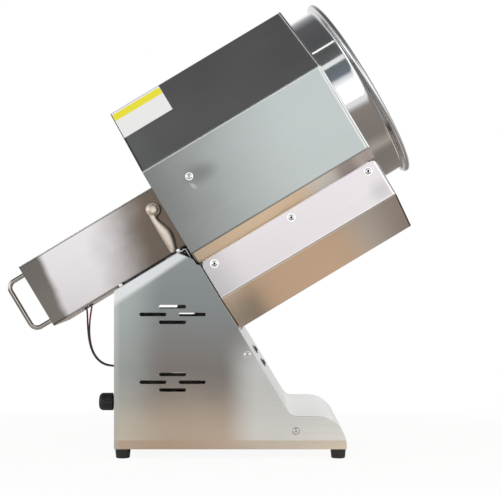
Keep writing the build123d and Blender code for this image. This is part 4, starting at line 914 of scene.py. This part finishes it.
def fittings(name, template, places, slot, body, seed, *nodes):
    """One mesh of the same fitting at several seats, each with the way it faces."""
    seats = line_mesh([seat for seat, way in places])
    ways = seats.attributes.new("way", "FLOAT_VECTOR", "POINT")
    ways.data.foreach_set("vector", [value for seat, way in places for value in way])
    pattern = new_object(name + "_pattern", template)
    mesh = FITTINGS.make(name, seats, slot, **{"Fitting": pattern, "Turn Seed": seed})
    bpy.data.objects.remove(pattern)
    bpy.data.meshes.remove(template)
    fit(name, mesh, body, slot, *nodes)


def plain_washer(radius, thick, chamfer):
    """Rows of a washer's section."""
    return [(radius, 0), (radius, 0.7 * thick), (radius - chamfer, thick)]


def pan_screw(washer_r, washer, head_r, head, grime_and_shade):
    """Button-head screw with a hexagonal socket, on a plain washer; grime and painted shade darken the socket
    towards its bottom.
    """
    top = washer + head
    return turned(plain_washer(washer_r, washer, 0.2 * MM) + [
        (head_r, washer), (head_r, washer + 0.30 * head), (0.93 * head_r, washer + 0.62 * head),
        (0.78 * head_r, washer + 0.88 * head), (0.60 * head_r, top), (1.06 * SOCKET_R, top, 1),
        (0.96 * SOCKET_R, washer + 0.93 * head, 1, 0.6 * grime_and_shade),
        (0.94 * SOCKET_R, washer + 0.22 * head, 1, grime_and_shade),
        (0.30 * SOCKET_R, washer + 0.10 * head, 0, grime_and_shade),
    ])


def hex_bolt(washer_r, washer, corner_r, height):
    """Hexagonal bolt head with a chamfered top, on a plain washer; grime and painted shade darken it, most at its
    foot and in its recess.
    """
    return turned(plain_washer(washer_r, washer, 0.25 * MM) + [
        (corner_r, washer, 1, 0.4), (corner_r, 0.86 * height, 1, 0.1),
        (0.84 * corner_r, height, 0, 0.1), (0.62 * corner_r, height, 0, 0.1),
        (0.58 * corner_r, 0.97 * height, 0, 0.3), (0.1 * corner_r, 0.97 * height, 0, 0.1),
    ], 48)


def side_seats(boxes, height):
    """Seats on upright side faces, from boxes of the solids that stand out of them."""
    seats = []
    for low, high in boxes:
        middle = (low + high) / 2
        side = 1 if middle.y > 0 else -1
        outer = high.y if side > 0 else -low.y
        seats.append(((middle.x, side * (outer - height), middle.z), (0, side, 0)))
    return seats


def screws():
    """Screws of the tray, the hood and the pedestal's side panels. The first two share a node."""
    casing = clumps("casing_screws")
    hood = [box for box in casing if max(box[1].y, -box[0].y) > FLANGE_HALF + 5 * MM]
    tray = [box for box in casing if box not in hood]
    for name, form, places, body, seed, nodes in (
        ("tray_screws", TRAY_SCREW, tray, "head", 3, ["casing_screws"]),
        ("hood_screws", SIDE_SCREW, hood, "head", 5, []),
        ("panel_screws", SIDE_SCREW, clumps("side_screws"), "pedestal", 8, ["side_screws"]),
    ):
        seats = side_seats(places, form["washer"] + form["head"])
        fittings(name, pan_screw(**form), seats, "fastener_steel", body, seed, *nodes)


def sloping_bolts():
    """Hexagonal bolts that hold the pedestal's sloping top."""
    places = []
    for low, high in clumps("top_bolts"):
        along, across, _ = TO_HEAD @ ((low + high) / 2)
        places.append((HEAD @ Vector((along, across, PED_TOP)), HEAD_UP))
    template = hex_bolt(**TOP_BOLT, height=head_box("top_bolts")[1].z - PED_TOP)
    fittings("sloping_bolts", template, places, "fastener_steel", "pedestal", 6, "top_bolts")


def foot_pads():
    """Moulded rubber feet: tapered, ribbed, with a rounded lower edge and a hollow for the screw."""
    feet = clumps("rubber_feet")
    low, high = feet[0]
    top = high.z - low.z
    wide = (high.x - low.x) / 2
    narrow = FOOT_TAPER * wide
    hollow = [(0.30 * narrow, 0.25 * top), (0.34 * narrow, 0.0)]
    section = [*hollow, (0.90 * narrow, 0.0), (0.97 * narrow, 0.03 * top)]
    for rib in range(FOOT_RIBS):
        for share, inset in RIB_SECTION:
            height = 0.06 + 0.80 * (rib + share) / FOOT_RIBS
            section.append((narrow + (wide - narrow) * height - inset, height * top))
    section += [(wide, 0.90 * top), (wide, top), (0.5 * wide, top)]
    places = [(((low.x + high.x) / 2, (low.y + high.y) / 2, low.z), UP) for low, high in feet]
    fittings("foot_pads", turned(section, 48), places, "black_rubber", "pedestal", 2, "rubber_feet")


# Turned drum and the hood's beaded edge

ON_AXIS = HEAD @ Matrix.Rotation(math.pi / 2, 4, "Y")
DRUM_WALL = 1.2 * MM
DRUM_CORE = 0.1
DRUM_SIDES = 160
FLARE_LENGTH = 5.6 * MM
FLARE_SHARES = (0.3, 0.55, 0.75, 0.9)
RIM_ANGLES = [180 - step * 22.5 for step in range(13)]
EDGE_BEAD = {"Rise": 0.9 * MM, "Width": 1.9 * MM}
EDGE_BEND = 2.4 * MM
BEND_SHARES = (0.0, 0.25, 0.5, 0.75, 1.0)
MOUTH_AXES = Matrix(((0, 0, 1), (1, 0, 0), (0, 1, 0))).to_4x4()
ON_MOUTH = HEAD @ Matrix.Translation((HOOD_FRONT - EDGE_BEAD["Width"], 0, 0)) @ MOUTH_AXES


def turned_tree():
    """Turns a closed section, drawn from the core's circle, all round an upright axis."""
    tree = Shape("turned_sheet", **{"Core": float, "Sides": int})
    inputs = {"Resolution": tree.input("Sides"), "Radius": tree.input("Core")}
    circle = tree.add("GeometryNodeCurvePrimitiveCircle", inputs, mode="RADIUS")
    circle = tree.add("GeometryNodeSetCurveNormal", {"Curve": circle}, mode="Z_UP")
    section = tree.add("GeometryNodeMeshToCurve", {"Mesh": tree.input("Geometry")})
    return tree.close(tree.add("GeometryNodeCurveToMesh", {"Curve": circle, "Profile Curve": section}))


def bead_tree():
    """Runs an oval bead along a flat line."""
    tree = Shape("edge_bead", **{"Rise": float, "Width": float})
    path = tree.add("GeometryNodeMeshToCurve", {"Mesh": tree.input("Geometry")})
    path = tree.add("GeometryNodeSetCurveNormal", {"Curve": path}, mode="Z_UP")
    inputs = {"Resolution": 12, "Radius": 1.0}
    oval = tree.add("GeometryNodeCurvePrimitiveCircle", inputs, mode="RADIUS")
    inputs = {"X": tree.input("Rise"), "Y": tree.input("Width"), "Z": 1.0}
    size = tree.add("ShaderNodeCombineXYZ", inputs)
    oval = tree.add("GeometryNodeTransform", {"Geometry": oval, "Scale": size})
    inputs = {"Curve": path, "Profile Curve": oval, "Fill Caps": True}
    return tree.close(tree.add("GeometryNodeCurveToMesh", inputs))


def drum_section():
    """Closed section of the drum's wall with its flared, rolled rim: along the axis, and radius."""
    inner = DRUM_OUTER - DRUM_WALL
    bead_r = RIM_HIGH.y - RIM_BEAD
    near_rear = DRUM_REAR + 60 * MM
    outside = (DRUM_REAR, near_rear, DRUM_FLARE - 60 * MM, DRUM_FLARE - 4 * MM, DRUM_FLARE)
    points = [(along, DRUM_OUTER) for along in outside]
    for share in FLARE_SHARES:
        rise = share ** 2.2 * (bead_r - DRUM_OUTER - 1 * MM)
        points.append((DRUM_FLARE + share * FLARE_LENGTH, DRUM_OUTER + rise))
    for angle in RIM_ANGLES:
        turn = math.radians(angle)
        points.append((RIM_MIDDLE + RIM_BEAD * math.cos(turn), bead_r + RIM_BEAD * math.sin(turn)))
    points.append((RIM_MIDDLE - 8 * MM, inner + 0.6 * MM))
    inside = (RIM_MIDDLE - 13 * MM, RIM_MIDDLE - 20 * MM, RIM_MIDDLE - 70 * MM, near_rear, DRUM_REAR)
    return points + [(along, inner) for along in inside]


def roasting_drum():
    """Polished drum wall, turned in one piece with its rolled rim."""
    section = [(radius - DRUM_CORE, -along, 0) for along, radius in drum_section()]
    start = line_mesh(section, closed=True)
    mesh = turned_tree().make("roasting_drum", start, "drum_steel", Core=DRUM_CORE, Sides=DRUM_SIDES)
    mesh = shaded(placed(outward(mesh), ON_AXIS), 40)
    fit("roasting_drum", mesh, "drum", "drum_steel", "drum_shell", "drum_rim")


def hood_edge():
    """Rolled edge round the hood's mouth, from one lip over the top to the other."""
    half = [(HOOD_HALF, HOOD_LOW), (HOOD_HALF, HOOD_SHOULDER), (HOOD_TOP_HALF, HOOD_TOP)]
    other_half = [(-across, up) for across, up in reversed(half)]
    first, *bends, last = [Vector(spot) for spot in half + other_half]
    points = [first]
    for before, bend, after in zip([first, *bends], bends, [*bends[1:], last]):
        back = (before - bend).normalized() * EDGE_BEND
        ahead = (after - bend).normalized() * EDGE_BEND
        points += [bend + back * (1 - share) ** 2 + ahead * share ** 2 for share in BEND_SHARES]
    points.append(last)
    start = line_mesh([(across, up, 0) for across, up in points])
    mesh = bead_tree().make("hood_rolled_edge", start, "edge_steel", **EDGE_BEAD)
    mesh = shaded(placed(outward(mesh), ON_MOUTH), 50)
    fit("hood_rolled_edge", mesh, "head", "hood_steel")


# Printed marks

PRINT_FILM = 0.08 * MM
DIAL_AT = Vector(JOINTS["thermostat_turn"]["pos_m"])
DIAL_STEP = math.radians(45)
DIAL_NUMBERS = ("0", "50", "100", "150", "200", "250", "300")
DIAL_NUMBER_R = 32 * MM
NUMBER_SIZE = 6.5 * MM
ROCKER_SIZE = 5.2 * MM
SHORT_STEPS = 5
LONG_MARKS = {
    "Count": len(DIAL_NUMBERS), "Step": DIAL_STEP,
    "Radius": 20.5 * MM, "Length": 4.6 * MM, "Width": 0.9 * MM,
}
SHORT_MARKS = {
    "Count": SHORT_STEPS * (len(DIAL_NUMBERS) - 1) + 1, "Step": DIAL_STEP / SHORT_STEPS,
    "Radius": 22.8 * MM, "Length": 2.2 * MM, "Width": 0.45 * MM,
}
KNOB_LINE = {"Count": 1, "Step": 0.0, "Radius": 3 * MM, "Length": 11 * MM, "Width": 1.1 * MM}


def mark_tree():
    """Lays bars round a dial, each along its own radius, the first one along X."""
    sizes = dict.fromkeys(("Radius", "Length", "Width", "Film", "Step"), float)
    tree = Shape("ring_marks", Count=int, **sizes)
    length = tree.input("Length")
    sides = {"X": length, "Y": tree.input("Width"), "Z": tree.input("Film")}
    bar = tree.add("GeometryNodeMeshCube", {"Size": tree.add("ShaderNodeCombineXYZ", sides)})
    away = tree.add("ShaderNodeCombineXYZ", {"X": tree.input("Radius") + length * 0.5})
    bar = tree.add("GeometryNodeTransform", {"Geometry": bar, "Translation": away})
    spots = tree.add("GeometryNodeMeshLine", {"Count": tree.input("Count"), "Offset": (0, 0, 0)})
    turn = tree.add("GeometryNodeInputIndex") * tree.input("Step")
    turn = tree.add("ShaderNodeCombineXYZ", {"Z": turn})
    turn = tree.add("FunctionNodeEulerToRotation", {"Euler": turn})
    inputs = {"Points": spots, "Instance": bar, "Rotation": turn}
    return tree.close(tree.add("GeometryNodeInstanceOnPoints", inputs))


MARKS = mark_tree()


def ring_marks(name, finish, height, sizes):
    """Bars round the dial's axis, the first one upwards, at a height above the mid-plane."""
    mesh = MARKS.make(name, line_mesh([(0, 0, 0)]), finish, Film=PRINT_FILM, **sizes)
    place = Matrix(((0, -1, 0), (0, 0, -1), (1, 0, 0))).to_4x4()
    place.translation = (DIAL_AT.x, height, DIAL_AT.z)
    return placed(mesh, place)


def printed(words, finish):
    """One mesh of flat printed words, each with its size and place."""
    meshes = []
    for word, size, place in words:
        letters = bpy.data.curves.new("letters", "FONT")
        letters.body = word
        letters.size = size
        letters.align_x = "CENTER"
        letters.align_y = "CENTER"
        letters.extrude = PRINT_FILM / 2
        letters.resolution_u = 4
        mesh = plain_mesh(new_object("letters", letters))
        bpy.data.curves.remove(letters)
        meshes.append(placed(outward(mesh), place))
    return joined("printed", finish, *meshes)


def dial_marks():
    """Scale on the thermostat's dial, its numbers on the panel, and a line on the knob's pointer."""
    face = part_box("thermostat_dial")[1].y
    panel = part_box("side_panel_far")[1].y
    knob_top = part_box("thermostat_knob")[1].y
    long_marks = ring_marks("long_marks", "print_black", face, LONG_MARKS)
    short_marks = ring_marks("short_marks", "print_black", face + 0.2 * PRINT_FILM, SHORT_MARKS)
    fit("dial_scale", joined("dial_scale", "print_black", long_marks, short_marks), "pedestal")
    words = []
    for i, word in enumerate(DIAL_NUMBERS):
        turn = i * DIAL_STEP
        x = DIAL_AT.x - DIAL_NUMBER_R * math.sin(turn)
        z = DIAL_AT.z + DIAL_NUMBER_R * math.cos(turn)
        place = Matrix(((-1, 0, 0), (0, 0, 1), (0, 1, 0))).to_4x4()
        place.translation = (x, panel, z)
        words.append((word, NUMBER_SIZE, place))
    fit("dial_numbers", printed(words, "print_black"), "pedestal")
    fit("knob_line", ring_marks("knob_line", "print_white", knob_top, KNOB_LINE), "knob")


def rocker_half(node, side):
    """Frame on one half of a rocker's face: Z out of it, Y up the slope."""
    faces = [
        face for face in frame["nodes"][node].data.polygons
        if face.normal.dot(DRUM_AXIS) > 0.85 and (face.center.y > 0) == (side > 0)
    ]
    area = sum(face.area for face in faces)
    out = sum((face.normal * face.area for face in faces), Vector()).normalized()
    across = HEAD_UP.cross(out).normalized()
    place = Matrix((across, out.cross(across), out)).transposed().to_4x4()
    place.translation = sum((face.center * face.area for face in faces), Vector()) / area
    return place


def rocker_marks():
    """I and O on the two halves of each rocker."""
    for node, body in (("heat_switch_rocker", "heat_rocker"), ("drum_switch_rocker", "drum_rocker")):
        words = [(word, ROCKER_SIZE, rocker_half(node, side)) for side, word in ((-1, "I"), (1, "O"))]
        fit(body + "_marks", printed(words, "print_white"), body)


# Clamp lever

LEVER_RINGS = (
    # Share of the length, then offset, half-width and half-thickness in millimetres
    (0.02, -3.4, 6.6, 4.2), (0.14, -5.6, 6.2, 4.0), (0.22, -6.2, 5.8, 3.9), (0.36, -4.6, 7.6, 4.2),
    (0.53, -2.6, 9.7, 4.5), (0.70, -2.9, 9.3, 4.4), (0.84, -4.4, 7.6, 4.0), (0.94, -5.5, 6.0, 3.2),
    (0.985, -5.6, 3.6, 2.0), (1.0, -5.6, 0.6, 0.5),
)
LEVER_START = LEVER_RINGS[0][0]
LEVER_STEPS = 36
LEVER_SIDES = 24
LEVER_LEAST = 0.3 * MM
LEVER_ROUNDNESS = 0.8
LEVER_EYE = (
    # Shares of the hub's radius and of its depth
    (0.86, 0.0), (0.95, 0.03), (1.0, 0.10), (1.0, 0.60), (0.97, 0.68), (0.88, 0.74), (0.78, 0.75),
    (0.76, 0.78), (0.75, 0.86), (0.70, 0.94), (0.56, 0.985), (0.40, 1.0), (0.36, 0.965), (0.1, 0.955),
)


def between(rows, share):
    """Values at a share of the way along rows, on a smooth line through them."""
    for i in range(len(rows) - 1):
        if share <= rows[i + 1][0]:
            break
    before = rows[max(i - 1, 0)]
    start = rows[i]
    end = rows[i + 1]
    after = rows[min(i + 2, len(rows) - 1)]
    t = (share - start[0]) / (end[0] - start[0])
    values = []
    for a, b, c, d in zip(before[1:], start[1:], end[1:], after[1:]):
        square = 2 * a - 5 * b + 4 * c - d
        cube = 3 * b - a - 3 * c + d
        values.append(0.5 * (2 * b + (c - a) * t + square * t ** 2 + cube * t ** 3))
    return values


def lever_arm(hub, length, middle):
    """Bone-shaped arm that hangs from the hub, with slightly squared sections."""
    built = bmesh.new()
    rings = []
    for step in range(LEVER_STEPS + 1):
        share = LEVER_START + (1 - LEVER_START) * step / LEVER_STEPS
        offset, half, thick = [value * MM for value in between(LEVER_RINGS, share)]
        ring = []
        for turn in turns(LEVER_SIDES):
            across, deep = [
                math.copysign(abs(way) ** LEVER_ROUNDNESS, way) * max(size, LEVER_LEAST)
                for way, size in ((math.cos(turn), half), (math.sin(turn), thick))
            ]
            spot = (hub.x + offset + across, middle + deep, hub.z - share * length)
            ring.append(built.verts.new(spot))
        rings.append(ring)
    skin(built, rings)
    mesh = as_mesh(built, "lever_arm")
    mesh.shade_smooth()
    return mesh


def lever_casting():
    """Cast clamp lever: a round hub with a domed cap, and a bone-shaped arm."""
    hub = TO_HEAD @ Vector(JOINTS["lever_turn"]["pos_m"])
    low, high = head_box("lever_handle")
    depth = high.y - low.y
    outer_r = high.x - hub.x
    arm = lever_arm(hub, hub.z - low.z, low.y + 0.40 * depth)
    eye = turned([(radius * outer_r, height * depth) for radius, height in LEVER_EYE], 48)
    placed(eye, Matrix.Translation((hub.x, high.y, hub.z)) @ Matrix.Rotation(math.pi / 2, 4, "X"))
    mesh = placed(joined("lever_casting", "cast_lever", arm, eye), HEAD)
    fit("lever_casting", mesh, "lever", "cast_lever", "lever_handle")


# Blank label on the hood's upper slope

LABEL_LENGTH = 91 * MM
LABEL_WIDTH = 69 * MM
LABEL_INSET = 1.5 * MM
LABEL_FILM = 0.25 * MM
LABEL_RIM_FILM = 0.15 * MM
LABEL_SUNK = 0.05 * MM
LABEL_GRID = (16, 10)


def blank_label():
    """Bare white film label with a plain yellow band, stuck beside the slope's upper rear corner."""
    top = Vector((0, -HOOD_TOP_HALF, HOOD_TOP))
    low = Vector((0, -HOOD_HALF, HOOD_SHOULDER))
    down = (low - top).normalized()
    out = down.cross(FORWARD)
    corner = top + (down + FORWARD) * LABEL_INSET
    columns, rows = LABEL_GRID
    built = bmesh.new()
    layer = built.loops.layers.uv.new("label")
    grid = {}
    spots = {}
    for side, i, j in product((0, 1), range(columns + 1), range(rows + 1)):
        on_rim = i in (0, columns) or j in (0, rows)
        upper = LABEL_RIM_FILM if on_rim else LABEL_FILM
        flat = FORWARD * (LABEL_LENGTH * i / columns) + down * (LABEL_WIDTH * j / rows)
        vertex = built.verts.new(corner + flat + out * (upper if side else -LABEL_SUNK))
        grid[side, i, j] = vertex
        spots[vertex] = (i / columns, 1 - j / rows)
    for side, i, j in product((0, 1), range(columns), range(rows)):
        built.faces.new([grid[side, i + a, j + b] for a, b in ((0, 0), (1, 0), (1, 1), (0, 1))])
    ring = [(i, 0) for i in range(columns)] + [(columns, j) for j in range(rows)]
    ring += [(columns - i, rows) for i in range(columns)] + [(0, rows - j) for j in range(rows)]
    for here, there in zip(ring, ring[1:] + ring[:1]):
        built.faces.new((grid[0, *here], grid[0, *there], grid[1, *there], grid[1, *here]))
    for face in built.faces:
        for loop in face.loops:
            loop[layer].uv = spots[loop.vert]
    mesh = placed(as_mesh(built, "blank_label"), HEAD)
    fit("blank_label", dressed(mesh, "label_film"), "head")


# Stage, light and camera

FLOOR_R = 4.5
FLOOR_SIDES = 96
FLOOR_SHEEN = (1.00, 0.87, 0.74)
FLOOR_NEAR = (0.82, 0.77, 0.71)
FLOOR_FAR = (0.34, 0.30, 0.27)
FRONT_SKY = (
    (0.00, (0.60, 0.46, 0.34)), (0.18, (0.50, 0.40, 0.32)), (0.25, (0.30, 0.27, 0.25)),
    (0.30, (0.52, 0.50, 0.49)), (0.355, (1.10, 1.08, 1.07)), (0.42, (1.45, 1.43, 1.43)),
    (0.60, (1.45, 1.46, 1.47)), (0.66, (0.85, 0.88, 0.92)), (0.685, (0.20, 0.23, 0.27)),
    (0.78, (0.17, 0.20, 0.21)), (0.90, (0.115, 0.12, 0.12)), (1.00, (0.105, 0.105, 0.11)),
)
BACK_SKY = (
    (0.00, (0.60, 0.50, 0.42)), (0.30, (0.75, 0.70, 0.66)), (0.45, WHITE), (0.70, WHITE),
    (0.80, (0.45, 0.46, 0.48)), (0.90, (0.14, 0.14, 0.15)), (1.00, (0.11, 0.11, 0.115)),
)
AHEAD_SKY = (0.42, 0.43, 0.44)
MATT_SKY = (0.88, 0.88, 0.88)
BODY_MIDDLE = (0.0, 0.0, 0.38)
DRUM_MIDDLE = (0.2, -0.1, 0.6)
LAMPS = (
    # Name, place, aim, both sides, power, way of the second side
    ("key_softbox", (1.7, -2.2, 1.9), BODY_MIDDLE, (1.6, 1.6), 8, UP),
    ("fill_softbox", (-2.4, -1.2, 1.0), BODY_MIDDLE, (0.9, 1.2), 5, UP),
    ("low_strip", (-0.62, -1.90, 1.955), DRUM_MIDDLE, (0.28, 1.2), 0.95, DRUM_AXIS),
    ("high_strip", (-0.938, -1.038, 2.493), DRUM_MIDDLE, (0.09, 1.2), 0.56, DRUM_AXIS),
)

# Photograph's camera: level, from the near side
CAMERA_AT = (0.0667, -2.370, 0.3322)
CAMERA_LENS = 100.4
SENSOR = 36.0


def empty_tree(owner):
    """Node tree of a material or a world, with nothing in it."""
    owner.use_nodes = True
    owner.node_tree.nodes.clear()
    return Tree(owner.node_tree)


def stage_floor():
    """Pale floor, white to the camera apart from the object's shadow."""
    material = bpy.data.materials.new("pale_floor")
    tree = empty_tree(material)
    x, y, _ = tree.axes(tree.add("ShaderNodeTexCoord", output="Object"))
    under_drum = x.step(0.45, 0.62) * y.step(-0.34, -0.02)
    far = distance(0.6 * x, y).step(0.28, 0.60).math("MAXIMUM", under_drum)
    warm = distance(x, y, (0.33, 0.0), (0.27, 0.42)).fall(0.55, 1.0)
    horizon = distance(x, y).step(1.8, 3.0)
    camera, glossy, through = tree.rays("Camera", "Glossy", "Transmission")
    shown = (camera + through + glossy * (0.65 * warm + horizon)).clamp()
    backdrop = tree.mix(glossy * warm, WHITE, FLOOR_SHEEN)
    white = tree.add("ShaderNodeEmission", {"Color": backdrop, "Strength": 1.0})
    ground = tree.mix(far, FLOOR_NEAR, FLOOR_FAR)
    matt = tree.add("ShaderNodeBsdfDiffuse", {"Color": ground, "Roughness": 0.6})
    mixed = tree.add("ShaderNodeMixShader", {0: shown * (0.92 + 0.08 * far), 1: matt, 2: white})
    tree.node("ShaderNodeOutputMaterial", {"Surface": mixed})
    mesh = bpy.data.meshes.new("stage_floor")
    rim = [(FLOOR_R * math.cos(turn), FLOOR_R * math.sin(turn), 0) for turn in turns(FLOOR_SIDES)]
    mesh.from_pydata(rim, [], [list(range(FLOOR_SIDES))])
    mesh.materials.append(material)
    new_object("stage_floor", mesh)


def studio_sky():
    """White backdrop behind; before the object a bright band at eye height under a dark ceiling."""
    world = bpy.data.worlds.new("studio")
    bpy.context.scene.world = world
    tree = empty_tree(world)
    x, y, z = tree.axes(tree.add("ShaderNodeTexCoord", output="Generated"))
    height = z * 0.5 + 0.5
    behind = y.step(-0.25, 0.35)
    ahead = x.step(0.30, 0.70) * y.step(-0.55, -0.10)
    camera, glossy, through, matt = tree.rays("Camera", "Glossy", "Transmission", "Diffuse")
    backdrop = z.window((-0.3, -0.05), (0.25, 0.5)) * behind
    shown = (camera + (glossy + through) * backdrop * (1.0 - ahead)).clamp()
    sky = tree.layered(
        tree.add("ShaderNodeValToRGB", {"Fac": height}, stops=FRONT_SKY),
        (behind, tree.add("ShaderNodeValToRGB", {"Fac": height}, stops=BACK_SKY)),
        (ahead * 0.85, AHEAD_SKY),
        (shown, WHITE),
        (matt, MATT_SKY),
    )
    light = tree.add("ShaderNodeBackground", {"Color": sky, "Strength": 1.0})
    tree.node("ShaderNodeOutputWorld", {"Surface": light})


def softbox(name, at, towards, size, power, along):
    """Oblong lamp that faces a point, with its second side along a given way."""
    lamp = bpy.data.lights.new(name, "AREA")
    lamp.shape = "RECTANGLE"
    lamp.size, lamp.size_y = size
    lamp.energy = power
    back = (Vector(at) - Vector(towards)).normalized()
    side = along.cross(back).normalized()
    holder = new_object(name, lamp)
    holder.location = at
    holder.rotation_euler = Matrix((side, back.cross(side), back)).transposed().to_euler()


def studio():
    """Floor, sky, lamps and the photograph's camera."""
    stage_floor()
    studio_sky()
    for lamp in LAMPS:
        softbox(*lamp)
    camera = bpy.data.cameras.new("photo_camera")
    camera.sensor_width = SENSOR
    camera.lens = CAMERA_LENS
    holder = new_object("photo_camera", camera)
    holder.location = CAMERA_AT
    holder.rotation_euler = (math.pi / 2, 0, 0)
    scene = bpy.context.scene
    scene.camera = holder
    scene.view_settings.view_transform = "Standard"


studio()
dress_frame()
wire("blue_wire", BLUE_ROUTE, "wire_blue", "blue_insulation")
wire("red_wire", RED_ROUTE, "wire_red", "red_insulation")
roasting_drum()
hood_edge()
lever_casting()
screws()
sloping_bolts()
foot_pads()
dial_marks()
rocker_marks()
blank_label()
